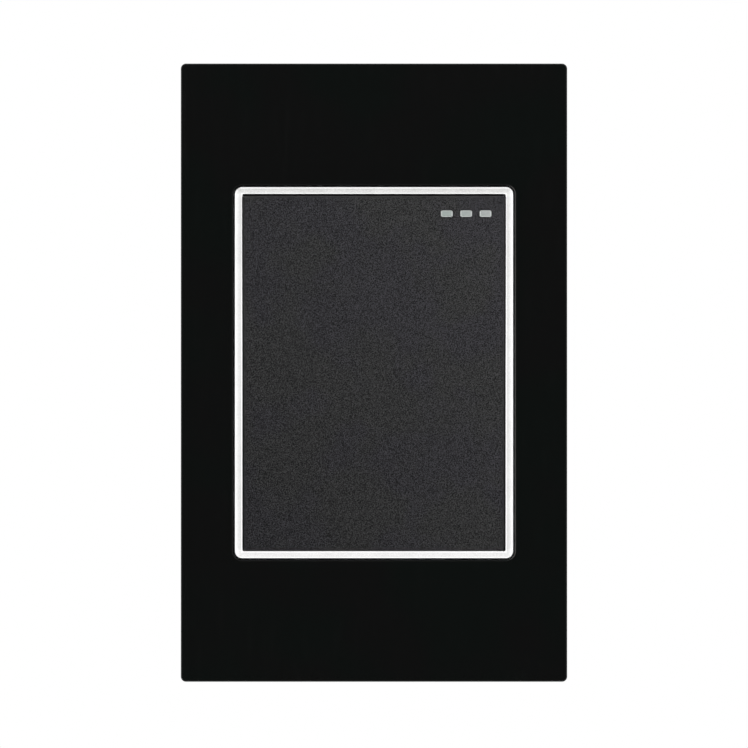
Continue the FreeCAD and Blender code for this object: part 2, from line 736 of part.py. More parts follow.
def make_plunger_spring():
    """An open compression spring, one unbroken tube, wound about the rocker's stem axis."""
    mean, wire, turns = value("spring_mean"), value("spring_wire"), value("spring_turns")
    start, rise = value("plunger_top + spring_wire + spring_seat"), value("spring_long / spring_turns")
    quarters = round(4 * turns)
    knots = []
    for index in range(quarters + 1):
        angle, level = index * math.pi / 2, start + rise * index / 4
        place = FreeCAD.Vector(mean * math.cos(angle), -level, mean * math.sin(angle))
        way = FreeCAD.Vector(-mean * math.sin(angle), -rise / (2 * math.pi), mean * math.cos(angle))
        knots.append((place, way.normalize()))
    arcs = []
    for here, there in zip(knots, knots[1:]):
        arcs += biarc(*here, *there)
    path = Part.Wire(arcs)
    circle = Part.Circle(knots[0][0], knots[0][1], wire)
    tube = path.makePipeShell([Part.Wire(circle.toShape())], True, False)
    least_gap = rise * math.cos(math.atan2(rise, 2 * math.pi * mean)) - 2 * wire
    print("spring: least gap between its turns", round(least_gap, 3), "mm")
    piece = doc.addObject("Part::Feature", "plunger_spring")
    piece.Shape = tube
    piece.Placement = FreeCAD.Placement(FreeCAD.Vector(0, -value("pivot_out"), 0),
                                        FreeCAD.Rotation(FreeCAD.Vector(1, 0, 0), value("tilt")))
    return piece


def make_housing_cover():
    body = new_body("housing_cover")
    pad(body, "flange", "frame_front", "flange_front",
        rounded("flange_wide", "flange_tall", "flange_corner"),
        disc("0", "0", "stem + stem_way"))
    recesses = []
    for side, row in CORNERS:
        near = times(side, "flange_wide / 2 - nub_bite - recess_gap")
        far = times(side, "flange_wide / 2 + overcut")
        left, right = sorted((near, far), key=value)
        half = "(nub_long / 2 + recess_gap)"
        recesses.append(rect(left, right, f"{row} * nub_rise - {half}", f"{row} * nub_rise + {half}"))
    recess_front = "frame_front + nub_lift + nub_thick + recess_gap"
    cut(body, "nub_recesses", "frame_front", recess_front, *recesses)
    keys = []
    for side in (-1, 1):
        far, near = "base_in_wide / 2 - key_gap", "base_in_wide / 2 - key_gap - key_thick"
        left, right = sorted((times(side, near), times(side, far)), key=value)
        keys.append(rect(left, right, "-key_half_tall", "key_half_tall"))
        far, near = "base_in_tall / 2 - key_gap", "base_in_tall / 2 - key_gap - key_thick"
        bottom, top = sorted((times(side, near), times(side, far)), key=value)
        keys.append(rect("-key_half_wide", "key_half_wide", bottom, top))
    pad(body, "keys", "frame_front - key_deep", "frame_front", *keys)
    foot = rect("-(pivot_out)", "-(frame_front + flange_thick / 2)", "-(cheek)", "cheek")
    for side, low, high in (("left", "-(cheek_outer)", "-cheek_inner"),
                            ("right", "cheek_inner", "cheek_outer")):
        pad(body, f"{side}_cheek_foot", low, high, foot, plane=SIDE)
        pad(body, f"{side}_cheek_head", low, high, disc("-(pivot_out)", "0", "cheek"), plane=SIDE)
    cut(body, "bearings", "-(cheek_outer) - overcut", "cheek_outer + overcut",
        disc("-(pivot_out)", "0", "trunnion + running_gap"), plane=SIDE)
    pad(body, "bosses", "frame_front", "boss_front", *[disc(x, z, "boss") for x, z in HOUSING_SCREWS])
    cut(body, "boss_holes", "frame_front", "frame_front + housing_screw_bite + running_gap", *[
        disc(x, z, "housing_screw + running_gap") for x, z in HOUSING_SCREWS])
    cut(body, "frame_screw_holes", "frame_front", "frame_screw_long + running_gap", *[
        disc(x, z, "frame_screw + running_gap") for x, z in FRAME_SCREWS])
    return body


def make_housing_base():
    body = new_body("housing_base")
    pad(body, "block", "base_rear", "frame_front", rounded("base_wide", "base_tall", "base_corner"))
    cut(body, "cavity", "floor", "frame_front",
        rect("-base_in_wide / 2", "base_in_wide / 2", "-base_in_tall / 2", "base_in_tall / 2"))
    posts = []
    for side, row in CORNERS:
        near, far = times(side, "base_in_wide / 2 - post"), times(side, "base_in_wide / 2")
        low, high = times(row, "base_in_tall / 2 - post"), times(row, "base_in_tall / 2")
        posts.append(rect(*sorted((near, far), key=value), *sorted((low, high), key=value)))
    pad(body, "posts", "floor", "frame_front", *posts)
    cut(body, "wells", "base_rear", "floor", *[
        box_at(x, z, "well / 2", "well / 2") for x, z in WELLS.values()])
    notches = []
    for x, z in WELLS.values():
        edge = times(math.copysign(1, value(x)), "base_wide / 2 + overcut")
        left, right = sorted((x, edge), key=value)
        notches.append(rect(left, right, f"({z}) - notch / 2", f"({z}) + notch / 2"))
    cut(body, "wire_notches", "base_rear", "floor", *notches)
    cut(body, "screw_holes", "base_rear", "frame_front", *[
        disc(x, z, "housing_screw + housing_screw_gap") for x, z in HOUSING_SCREWS])
    cut(body, "counterbores", "base_rear", "head_seat", *[
        disc(x, z, "housing_head + housing_head_gap") for x, z in HOUSING_SCREWS])
    left = "-base_wide / 2 + base_wall"
    inner_left = "-well_across + well / 2 + core_wall"
    inner_right = "well_across - well / 2 - core_wall"
    below_post = "base_tall / 2 - base_wall - post - core_wall"
    cores = [rect(inner_left, inner_right, "core_wall", below_post),
             rect(inner_left, inner_right, f"-({below_post})", "-core_wall")]
    for row in (-1, 1):
        near, far = times(row, "well / 2 + core_wall"), times(row, below_post)
        bottom, top = sorted((near, far), key=value)
        cores.append(rect(left, "-well_across + well / 2", bottom, top))
    cut(body, "cores", "base_rear", "base_rear + core_deep", *cores)
    return body


def make_housing_screws():
    body = new_body("housing_screws")
    face = "base_rear + housing_sink"
    heads = pad(body, "heads", face, "head_seat", *[
        disc(x, z, "housing_head") for x, z in HOUSING_SCREWS])
    rounding(body, "dome", edges_at(heads, face), times(DOME_SHARE, "housing_head_tall"))
    pad(body, "shanks", "head_seat", "frame_front + housing_screw_bite", *[
        disc(x, z, "housing_screw") for x, z in HOUSING_SCREWS])
    cross_recess(body, HOUSING_SCREWS, face, "housing_head")
    return body


def make_contact_arm():
    body = new_body("contact_arm", "-arm_depth")
    half = "arm_thick / 2"
    pad(body, "strip", f"-({half})", half,
        rounded("2 * arm_half_wide", "2 * arm_half_tall", "arm_corner"),
        *[disc("0", times(row, "contact_rise"), "rivet + rivet_gap") for row in (-1, 1)])
    reach = "ear_outer + lug_spare"
    pad(body, "lugs", f"-({reach})", reach,
        rect(f"-({half})", half, "-lug_half_tall", "lug_half_tall"), plane=SIDE)
    tilted(body, -1, "arm_tilt")
    return body


def make_moving_contacts():
    body = new_body("moving_contacts", "-arm_depth")
    spots = [("0", times(row, "contact_rise")) for row in (-1, 1)]
    half = "arm_thick / 2"
    pad(body, "rivets", f"-({half})", half, *[disc(x, z, "rivet") for x, z in spots])
    pad(body, "rivet_heads", half, f"{half} + rivet_head_tall", *[
        disc(x, z, "rivet_head") for x, z in spots])
    pad(body, "buttons", f"-({half} + contact_tall)", f"-({half})", *[
        disc(x, z, "contact") for x, z in spots])
    tilted(body, -1, "arm_tilt")
    return body


def add_screw_collar(body, well):
    """The drawn collar that the terminal screw is threaded into."""
    x, z = WELLS[well]
    pad(body, "collar", "strip_front", "strip_front + collar_tall",
        disc(x, z, "terminal_screw + terminal_gap + collar_wall"))
    cut(body, "thread", "floor", "strip_front + collar_tall",
        disc(x, z, "terminal_screw + terminal_gap"))


def make_way_terminal(well, row):
    body = new_body(f"{well}_terminal")
    x, z = WELLS[well]
    lap = "well / 2 + strip_lap"
    near = times(row, "touch_rise - leg_half_tall")
    far = times(row, "touch_rise + leg_half_tall")
    pad(body, "contact_leg", "floor", "strip_front",
        rect("-leg_half_tall", "well_across", *sorted((near, far), key=value)))
    end = times(row, "way_rise + well / 2 + strip_end_lap")
    pad(body, "clamp_pad", "floor", "strip_front",
        rect(f"({x}) - ({lap})", f"({x}) + {lap}", *sorted((near, end), key=value)))
    add_screw_collar(body, well)
    cut(body, "rivet_hole", "floor", "strip_front",
        disc("0", times(row, "touch_rise"), "rivet + rivet_gap"))
    return body


def make_common_terminal():
    body = new_body("common_terminal")
    x, z = WELLS["common"]
    lap = "well / 2 + strip_lap"
    pad(body, "clamp_pad", "floor", "strip_front", box_at(x, z, lap, lap))
    pad(body, "arm_leg", "floor", "strip_front",
        rect(x, "ear_outer", "-common_half_tall", "common_half_tall"))
    ear = rect("-(ear_top)", "floor_depth", "-ear_half_tall", "ear_half_tall")
    for side, low, high in (("left", "-(ear_outer)", "-(ear_inner)"),
                            ("right", "ear_inner", "ear_outer")):
        pad(body, f"{side}_ear", low, high, ear, plane=SIDE)
    cut(body, "ear_holes", "-(ear_outer) - overcut", "ear_outer + overcut",
        disc("arm_depth", "0", "lug_hole"), plane=SIDE)
    add_screw_collar(body, "common")
    return body


def make_fixed_contacts():
    body = new_body("fixed_contacts")
    spots = [("0", times(row, "touch_rise")) for row in (-1, 1)]
    pad(body, "rivets", "floor", "strip_front", *[disc(x, z, "rivet") for x, z in spots])
    pad(body, "buttons", "strip_front", "-(touch_depth)", *[
        disc(x, z, "fixed_contact") for x, z in spots])
    return body


def make_terminal_clamps():
    body = new_body("terminal_clamps")
    outlines = []
    for x, z in WELLS.values():
        outlines.append(box_at(x, z, "clamp / 2", "clamp / 2"))
        outlines.append(disc(x, z, "terminal_screw + terminal_gap"))
    pad(body, "washers", "clamp_rear", "clamp_front", *outlines)
    return body


def make_terminal_screws():
    body = new_body("terminal_screws")
    spots = list(WELLS.values())
    heads = pad(body, "heads", "head_rear", "clamp_rear", *[
        disc(x, z, "terminal_head") for x, z in spots])
    rounding(body, "dome", edges_at(heads, "head_rear"), times(DOME_SHARE, "terminal_head_tall"))
    pad(body, "shanks", "clamp_rear", "strip_front + collar_tall", *[
        disc(x, z, "terminal_screw") for x, z in spots])
    cross_recess(body, spots, "head_rear", "terminal_head")
    return body


pieces = [
    make_face_plate(), make_bonding_tape(), make_plate_carrier(), make_trim_frame(),
    make_mounting_frame(), make_frame_screws(), make_rocker_cover(), make_window_insert(),
    make_rocker_lever(), make_plunger(), make_plunger_spring(), make_housing_cover(),
    make_housing_base(), make_housing_screws(), make_contact_arm(), make_moving_contacts(),
    make_common_terminal(), make_way_terminal("upper", 1), make_way_terminal("lower", -1),
    make_fixed_contacts(), make_terminal_clamps(), make_terminal_screws(),
]
doc.recompute()

for item in doc.Objects:
    if "Invalid" in item.State or "Error" in item.State:
        raise RuntimeError(f"{item.Name} failed: {item.State}")
    if item.TypeId == "Sketcher::SketchObject" and not item.FullyConstrained:
        raise RuntimeError(f"{item.Name} isn't fully constrained")
    if item.TypeId == "PartDesign::Pocket" and item.Shape.Volume >= item.BaseFeature.Shape.Volume:
        raise RuntimeError(f"{item.Name} cuts nothing")
for piece in pieces:
    if piece.Shape.isNull() or not piece.Shape.isValid():
        raise RuntimeError(f"{piece.Label} has no valid shape")

os.makedirs("parts", exist_ok=True)
for piece in pieces:
    piece.Shape.exportStep(f"parts/{piece.Label}.step")
    print(f"{piece.Label}: {len(piece.Shape.Solids)} solid(s), {piece.Shape.Volume:.1f} mm3")
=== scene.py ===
import json
import math

import bmesh
import bpy
from bpy.props import FloatProperty, FloatVectorProperty, IntProperty, PointerProperty
from bpy.types import Operator, PropertyGroup
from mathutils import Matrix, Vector


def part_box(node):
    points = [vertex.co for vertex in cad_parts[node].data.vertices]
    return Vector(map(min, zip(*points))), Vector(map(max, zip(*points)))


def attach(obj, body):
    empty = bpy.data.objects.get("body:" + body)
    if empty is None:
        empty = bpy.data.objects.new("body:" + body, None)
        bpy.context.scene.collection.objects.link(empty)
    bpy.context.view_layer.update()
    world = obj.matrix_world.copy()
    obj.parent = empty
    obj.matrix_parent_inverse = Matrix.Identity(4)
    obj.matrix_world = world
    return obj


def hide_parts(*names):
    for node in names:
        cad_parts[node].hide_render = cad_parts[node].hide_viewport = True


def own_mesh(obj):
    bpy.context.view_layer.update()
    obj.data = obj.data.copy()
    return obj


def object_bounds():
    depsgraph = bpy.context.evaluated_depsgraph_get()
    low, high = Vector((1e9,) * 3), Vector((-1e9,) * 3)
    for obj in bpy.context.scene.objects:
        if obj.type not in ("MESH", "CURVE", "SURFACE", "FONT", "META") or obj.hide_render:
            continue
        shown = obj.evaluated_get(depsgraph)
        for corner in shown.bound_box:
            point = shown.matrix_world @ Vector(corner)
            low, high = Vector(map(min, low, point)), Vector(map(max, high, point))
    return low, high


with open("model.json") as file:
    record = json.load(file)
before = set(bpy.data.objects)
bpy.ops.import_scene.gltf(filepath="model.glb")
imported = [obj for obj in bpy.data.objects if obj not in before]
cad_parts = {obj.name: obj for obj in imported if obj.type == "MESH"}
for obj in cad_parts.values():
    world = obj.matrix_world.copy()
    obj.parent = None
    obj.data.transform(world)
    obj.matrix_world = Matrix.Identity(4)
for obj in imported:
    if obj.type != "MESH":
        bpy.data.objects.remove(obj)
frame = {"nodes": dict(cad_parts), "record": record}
CAD_LOW, CAD_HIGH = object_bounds()

bl_info = {
    "name": "Wall Switch",
    "version": (1, 0, 0),
    "blender": (4, 5, 0),
    "location": "View3D > Sidebar > Wall Switch",
    "description": "Finishes and fine detail of a rocker wall switch, round its CAD solids",
    "category": "Object",
}

# Lengths are in metres. X runs to the right as seen from the room, Y into the wall and Z up.
MM = 0.001
WELD = 0.001 * MM
FULL_TURN = 2 * math.pi
# Faces that meet at less than the first angle are one flat face, at less than the second they are
# shaded as one, and edges sharper than the third are rounded.
FLAT_ANGLE = math.radians(1)
SMOOTH_ANGLE = math.radians(32)
SHARP_ANGLE = math.radians(40)
# Noise is thinner along its own grid's planes, so it's turned askew to the part's flat faces.
ASKEW = (0.61, 0.47, 0.83)
# How far a cross recess reaches to the head's rim, and how much smaller its foot is than its mouth
RECESS_REACH = 0.6
RECESS_TAPER = 0.62
# Shares of the floor's reach between which it fades out
FADE_START = 0.45
FADE_END = 0.95
BORE_SIDES = 40
# Rings in each pitch of a thread, and how steep its flanks are: over 1 leaves a flat root
THREAD_STEPS = 8
FLANK_SLOPE = 1.25


def colour_property(name, description, default):
    return FloatVectorProperty(name=name, description=description, default=default,
                               subtype="COLOR", size=3, min=0.0, max=1.0)


def length_property(name, description, default):
    return FloatProperty(name=name, description=description, default=default,
                         subtype="DISTANCE", unit="LENGTH", min=0.0, precision=5)


def place_property(name, description, default):
    return FloatVectorProperty(name=name, description=description, default=default,
                               subtype="TRANSLATION", unit="LENGTH", size=3)


def share_property(name, description, default):
    return FloatProperty(name=name, description=description, default=default,
                         subtype="FACTOR", min=0.0, max=1.0)


def level_property(name, description, default):
    return FloatProperty(name=name, description=description, default=default, min=0.0)


def count_property(name, description, default, least):
    return IntProperty(name=name, description=description, default=default, min=least)


def angle_property(name, description, degrees):
    return FloatProperty(name=name, description=description, default=math.radians(degrees),
                         subtype="ANGLE", min=0.0, max=math.pi)


class StageSettings(PropertyGroup):
    focal_length: FloatProperty(name="Focal length", description="The camera's lens",
                                default=200.0, min=10.0, unit="CAMERA")
    distance: length_property("Distance", "From the lens to the panel's front", 806.5 * MM)
    aim_drop: length_property("Aim drop", "How far the lens is below the part's middle", 0.26 * MM)
    floor_drop: length_property("Floor drop", "From the part's lowest point to the floor", 100 * MM)
    floor_reach: length_property("Floor reach", "Radius of the floor disc", 500 * MM)
    floor_white: share_property("Floor white", "Share of plain white in the floor that is seen",
                                0.5)
    floor_colour: colour_property("Floor", "Colour of the pale floor", (0.9, 0.9, 0.9))
    dark_angle: angle_property("Dark angle", "Half angle of the unlit patch round the lens", 8)
    front_angle: angle_property("Front angle", "Half angle of the soft light round the lens", 29)
    behind_angle: angle_property("Behind angle", "Where the white backdrop begins", 122)
    soft_edge: angle_property("Soft edge", "How far each part of the light fades", 10)
    front_level: level_property("Front level", "Brightness of the light round the lens", 1.75)
    side_level: level_property("Side level", "Brightness of the studio's sides", 0.3)
    behind_level: level_property("Behind level", "Light that the backdrop gives", 0.75)
    key_level: level_property("Key level", "Radiance of the key softbox", 1.65)
    key_place: place_property("Key place", "Middle of the key softbox", (0.75, -0.8, 0.7))
    key_side: length_property("Key side", "Side of the key softbox", 1.0)
    fill_level: level_property("Fill level", "Radiance of the fill softbox", 0.7)
    fill_place: place_property("Fill place", "Middle of the fill softbox", (-0.9, -0.7, 0.1))
    fill_side: length_property("Fill side", "Side of the fill softbox", 0.9)
    rear_level: level_property("Rear level", "Radiance of the rear softbox", 0.8)
    rear_place: place_property("Rear place", "Middle of the rear softbox", (-0.7, 0.9, 0.8))
    rear_side: length_property("Rear side", "Side of the rear softbox", 1.0)


class FrontSettings(PropertyGroup):
    panel_colour: colour_property("Panel", "Gloss black of the panel", (0.0053, 0.0055, 0.0054))
    panel_cast: colour_property("Panel cast", "Greener patches of the panel",
                                (0.0047, 0.0059, 0.0054))
    # Painted shade: the near black put down in the joint, on the opening's matt wall and on the
    # trim's outer wall.
    wall_colour: colour_property("Opening wall", "Matt sawn wall of the opening",
                                 (0.002, 0.002, 0.002))
    # Painted highlight: the pale bevel at the opening's right stands in for the light that it
    # catches.
    bevel_colour: colour_property("Bevel", "Ground bevel at the opening's right",
                                  (0.105, 0.098, 0.096))
    panel_roughness: share_property("Panel roughness", "Roughness of the polished face", 0.07)
    trim_colour: colour_property("Trim", "Satin silver of the trim frame", (0.70, 0.699, 0.694))
    # Painted shade: the greyer silver of the top bar stands in for the light falling off there.
    trim_shade: colour_property("Trim shade", "Greyer silver along the top", (0.64, 0.64, 0.63))
    # Painted light: the paler silver of the bottom bar.
    trim_pale: colour_property("Trim foot", "Paler silver along the bottom", (0.80, 0.80, 0.795))
    # Painted highlight along the trim's outer and inner edges.
    trim_cut: colour_property("Trim edges", "Bright cut edges of the trim frame",
                              (0.99, 0.99, 0.985))
    # Width of the painted edge highlight.
    cut_wide: length_property("Cut edge", "Width of each bright edge", 0.26 * MM)
    rim_wide: length_property("Side bar", "Width of the trim's side bars", 1.5 * MM)
    rim_tall: length_property("End bar", "Width of the trim's top and bottom bars", 1.4 * MM)
    trim_roughness: share_property("Trim roughness", "Roughness of the satin metal", 0.46)
    rocker_colour: colour_property("Rocker", "Graphite of the rocker", (0.0228, 0.0228, 0.0231))
    rocker_cast: colour_property("Rocker cast", "Violet patches of the graphite",
                                 (0.0224, 0.0219, 0.0250))
    rocker_roughness: share_property("Rocker roughness", "Roughness of the graphite", 0.5)
    grain_size: length_property("Grain size", "Spacing of the rocker's grain", 0.19 * MM)
    window_green: colour_property("First window", "Tint of the first window", (0.330, 0.381, 0.362))
    window_grey: colour_property("Last window", "Tint of the last window", (0.386, 0.410, 0.402))
    # Painted highlight round each pane's rim.
    window_rim: colour_property("Window rim", "Paler rim of each window", (0.67, 0.70, 0.685))
    pane_pitch: length_property("Pane pitch", "Spacing of the windows", 3.75 * MM)


class PlasticSettings(PropertyGroup):
    carrier_colour: colour_property("Carrier", "Black of the plate carrier", (0.018, 0.018, 0.019))
    lever_colour: colour_property("Lever", "Grey of the rocker lever", (0.22, 0.23, 0.24))
    plunger_colour: colour_property("Plunger", "White of the plunger", (0.78, 0.77, 0.73))
    cover_colour: colour_property("Cover", "Pale grey of the housing cover", (0.56, 0.57, 0.57))
    base_colour: colour_property("Base", "Grey of the housing base", (0.33, 0.34, 0.35))
    tape_colour: colour_property("Tape", "Grey of the foam tape", (0.06, 0.06, 0.062))
    grain_size: length_property("Grain size", "Spacing of the moulded grain", 0.35 * MM)


class MetalSettings(PropertyGroup):
    steel_colour: colour_property("Frame", "Galvanised steel of the frame", (0.58, 0.60, 0.62))
    zinc_colour: colour_property("Screws", "Bright zinc of the screws", (0.66, 0.67, 0.68))
    zinc_cast: colour_property("Screw cast", "Straw cast of the passivated zinc",
                               (0.66, 0.60, 0.46))
    brass_colour: colour_property("Brass", "Brass of the strips", (0.79, 0.57, 0.27))
    brass_dull: colour_property("Dull brass", "Brass where it has darkened", (0.52, 0.35, 0.16))
    silver_colour: colour_property("Contacts", "Silver alloy of the contacts", (0.86, 0.85, 0.82))
    spring_colour: colour_property("Spring", "Drawn steel of the spring", (0.42, 0.42, 0.43))


class FastenerSettings(PropertyGroup):
    thread_sides: count_property("Sides", "Points round each thread", 32, 8)
    terminal_radius: length_property("Terminal radius", "Over the terminal thread", 1.7 * MM)
    terminal_thread: length_property("Terminal thread", "Depth of the terminal thread", 0.3 * MM)
    terminal_pitch: length_property("Terminal pitch", "Pitch of the terminal thread", 0.6 * MM)
    housing_radius: length_property("Housing radius", "Over the thread forming screws", 1.2 * MM)
    housing_thread: length_property("Housing thread", "Depth of the formed thread", 0.3 * MM)
    housing_pitch: length_property("Housing pitch", "Pitch of the thread forming screws", 1.0 * MM)
    housing_threaded: length_property("Housing threaded", "Length of the formed thread", 8 * MM)
    housing_head: length_property("Housing head", "Height of a thread forming screw's head",
                                  1.8 * MM)
    frame_radius: length_property("Frame radius", "Over the countersunk screws' thread", 1.2 * MM)
    frame_thread: length_property("Frame thread", "Depth of the countersunk screws' thread",
                                  0.22 * MM)
    frame_pitch: length_property("Frame pitch", "Pitch of the countersunk screws", 0.45 * MM)
    frame_land: length_property("Frame land", "Straight rim of a countersunk head", 0.1 * MM)
    recess_wide: length_property("Recess width", "Width of the cross recess", 0.7 * MM)
    recess_deep: length_property("Recess depth", "Depth of the cross recess", 0.8 * MM)
    clamp_ridges: count_property("Ridges", "Grip ridges of each clamp", 7, 1)
    ridge_deep: length_property("Ridge depth", "Depth of the grip ridges", 0.22 * MM)
    clamp_bore: length_property("Clamp bore", "Radius of each clamp's bore", 1.78 * MM)


class SpringSettings(PropertyGroup):
    wire: length_property("Wire", "Diameter of the spring's wire", 0.5 * MM)
    turns: FloatProperty(name="Turns", description="Turns of the spring in all",
                         default=6.0, min=3.0)
    closed_pitch: length_property("Closed pitch", "Pitch of the closed turn at each end", 0.56 * MM)
    wire_sides: count_property("Wire sides", "Points round the wire", 12, 6)
    turn_steps: count_property("Steps", "Rings of points in each turn", 48, 12)


class SwitchSettings(PropertyGroup):
    stage: PointerProperty(type=StageSettings)
    front: PointerProperty(type=FrontSettings)
    plastic: PointerProperty(type=PlasticSettings)
    metal: PointerProperty(type=MetalSettings)
    fasteners: PointerProperty(type=FastenerSettings)
    spring: PointerProperty(type=SpringSettings)


class Wire:
    """A node's output. Arithmetic on wires adds Math nodes to their tree."""

    def __init__(self, shader, socket):
        self.shader = shader
        self.socket = socket

    def maths(self, operation, *values):
        return self.shader.node("ShaderNodeMath", {"operation": operation}, dict(enumerate(values)))

    def __add__(self, other):
        return self.maths("ADD", self, other)

    def __sub__(self, other):
        return self.maths("SUBTRACT", self, other)

    def __rsub__(self, other):
        return self.maths("SUBTRACT", other, self)

    def __mul__(self, other):
        return self.maths("MULTIPLY", self, other)

    def __truediv__(self, other):
        return self.maths("DIVIDE", self, other)

    def __pow__(self, other):
        return self.maths("POWER", self, other)

    def __abs__(self):
        return self.maths("ABSOLUTE", self)

    def __neg__(self):
        return self.maths("MULTIPLY", self, -1.0)

    def most(self, other):
        return self.maths("MAXIMUM", self, other)

    def least(self, other):
        return self.maths("MINIMUM", self, other)

    __radd__ = __add__
    __rmul__ = __mul__


class Shader:
    """A node tree of a material or the world, built up from its inputs to its output."""

    def __init__(self, owner):
        owner.use_nodes = True
        self.owner = owner
        self.tree = owner.node_tree
        self.tree.nodes.clear()

    def node(self, kind, settings=(), sockets=(), output=0):
        """Add a node, set it up, fill its sockets with values or wires, and return its output."""
        made = self.tree.nodes.new(kind)
        for name, setting in dict(settings).items():
            setattr(made, name, setting)
        for name, given in dict(sockets).items():
            if isinstance(given, Wire):
                self.tree.links.new(given.socket, made.inputs[name])
            elif made.inputs[name].type == "RGBA":
                made.inputs[name].default_value = (*given, 1.0)
            else:
                made.inputs[name].default_value = given
        if isinstance(output, tuple):
            return [Wire(self, made.outputs[name]) for name in output]
        return Wire(self, made.outputs[output]) if made.outputs else None

    def place(self):
        """Where a point lies in its own piece, in metres."""
        return self.node("ShaderNodeTexCoord", output="Object")

    def facing(self):
        """Which way a point of the piece's surface faces, as X, Y and Z."""
        return self.split(self.node("ShaderNodeTexCoord", output="Normal"))

    def split(self, vector):
        return self.node("ShaderNodeSeparateXYZ", sockets={0: vector}, output=("X", "Y", "Z"))

    def stretch(self, vector, factors):
        return self.node("ShaderNodeVectorMath", {"operation": "MULTIPLY"}, {0: vector, 1: factors})

    def noise(self, vector, size, detail=2.0, rough=0.5):
        """Soft noise from 0 to 1 whose clouds are about that size."""
        turned = self.node("ShaderNodeVectorRotate", {"rotation_type": "EULER_XYZ"}, {
            "Vector": vector, "Rotation": ASKEW})
        return self.node("ShaderNodeTexNoise", {}, {
            "Vector": turned, "Scale": 1 / size, "Detail": detail, "Roughness": rough})

    def cells(self, vector, size, output="Distance"):
        """A crystal pattern: the distance from each cell's middle, in cell sizes, or its colour."""
        return self.node("ShaderNodeTexVoronoi", {}, {"Vector": vector, "Scale": 1 / size},
                         output=output)

    def smooth(self, value, low, high):
        """A soft step from 0 at low to 1 at high, which may also lie below low."""
        return self.node("ShaderNodeMapRange", {"interpolation_type": "SMOOTHSTEP"}, {
            "Value": value, "From Min": low, "From Max": high})

    def mix(self, factor, first, second):
        """A colour between two others."""
        return self.node("ShaderNodeMix", {"data_type": "RGBA"}, {0: factor, 6: first, 7: second},
                         output=2)

    def shade(self, colour, factor):
        """A colour made lighter or darker by a wire."""
        grey = self.node("ShaderNodeCombineColor", {}, {0: factor, 1: factor, 2: factor})
        return self.node("ShaderNodeMix", {"data_type": "RGBA", "blend_type": "MULTIPLY"},
                         {0: 1.0, 6: colour, 7: grey}, output=2)

    def rays(self):
        """Whether a ray is seen straight or through glass, and whether it's seen in gloss."""
        camera, through, glossy = self.node("ShaderNodeLightPath", output=(
            "Is Camera Ray", "Is Transmission Ray", "Is Glossy Ray"))
        return camera.most(through), glossy

    def surface(self, base, roughness, relief=0.0, height=None, metallic=0.0, specular=0.5):
        """Finish a material: its colour, its roughness and the fine relief of its face."""
        sockets = {"Base Color": base, "Roughness": roughness, "Metallic": metallic,
                   "Specular IOR Level": specular}
        if height is not None:
            sockets["Normal"] = self.node("ShaderNodeBump", {}, {
                "Distance": relief, "Height": height})
        self.node("ShaderNodeOutputMaterial", {}, {
            "Surface": self.node("ShaderNodeBsdfPrincipled", {}, sockets)})
        return self.owner


def new_finish(name):
    return Shader(bpy.data.materials.new(name))


def gloss_black(front):
    """Polished black plastic: a faint green cast, a slow ripple, painted shade on the opening's
    wall and a painted highlight on its bevel at the right.
    """
    shader = new_finish("gloss_black")
    place = shader.place()
    cast = shader.smooth(shader.noise(place, 22 * MM), 0.40, 0.62)
    wiped = shader.noise(shader.stretch(place, (1.0, 1.0, 0.1)), 1.2 * MM, detail=4.0, rough=0.6)
    roughness = front.panel_roughness * (1 + 0.6 * shader.smooth(wiped, 0.5, 0.75))
    ripple = shader.noise(place, 6 * MM, detail=1.0)
    leftward, outward, _ = (-way for way in shader.facing())
    across, inward, up = shader.split(place)
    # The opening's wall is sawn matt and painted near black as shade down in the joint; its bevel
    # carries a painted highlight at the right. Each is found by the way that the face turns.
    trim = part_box("trim_frame")[1]
    opening = (shader.smooth(abs(across), trim.x + 2 * MM, trim.x + 1 * MM)
               * shader.smooth(abs(up), trim.z + 2 * MM, trim.z + 1 * MM))
    wall = opening * shader.smooth(outward, 0.5, 0.3)
    slant = opening * shader.smooth(outward, 0.4, 0.6) * shader.smooth(outward, 0.95, 0.85)
    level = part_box("face_plate")[0].y
    # The mask of the painted highlight on the right-hand bevel.
    ground = (slant * shader.smooth(across, 0.0, 1 * MM) * shader.smooth(leftward, 0.15, 0.6)
              * shader.smooth(inward, level + 0.02 * MM, level + 0.07 * MM))
    base = shader.mix(cast, front.panel_colour, front.panel_cast)
    base = shader.mix(wall, shader.mix(ground, base, front.bevel_colour), front.wall_colour)
    return shader.surface(base, roughness + 0.85 * wall, relief=0.004 * MM, height=ripple,
                          specular=0.4)


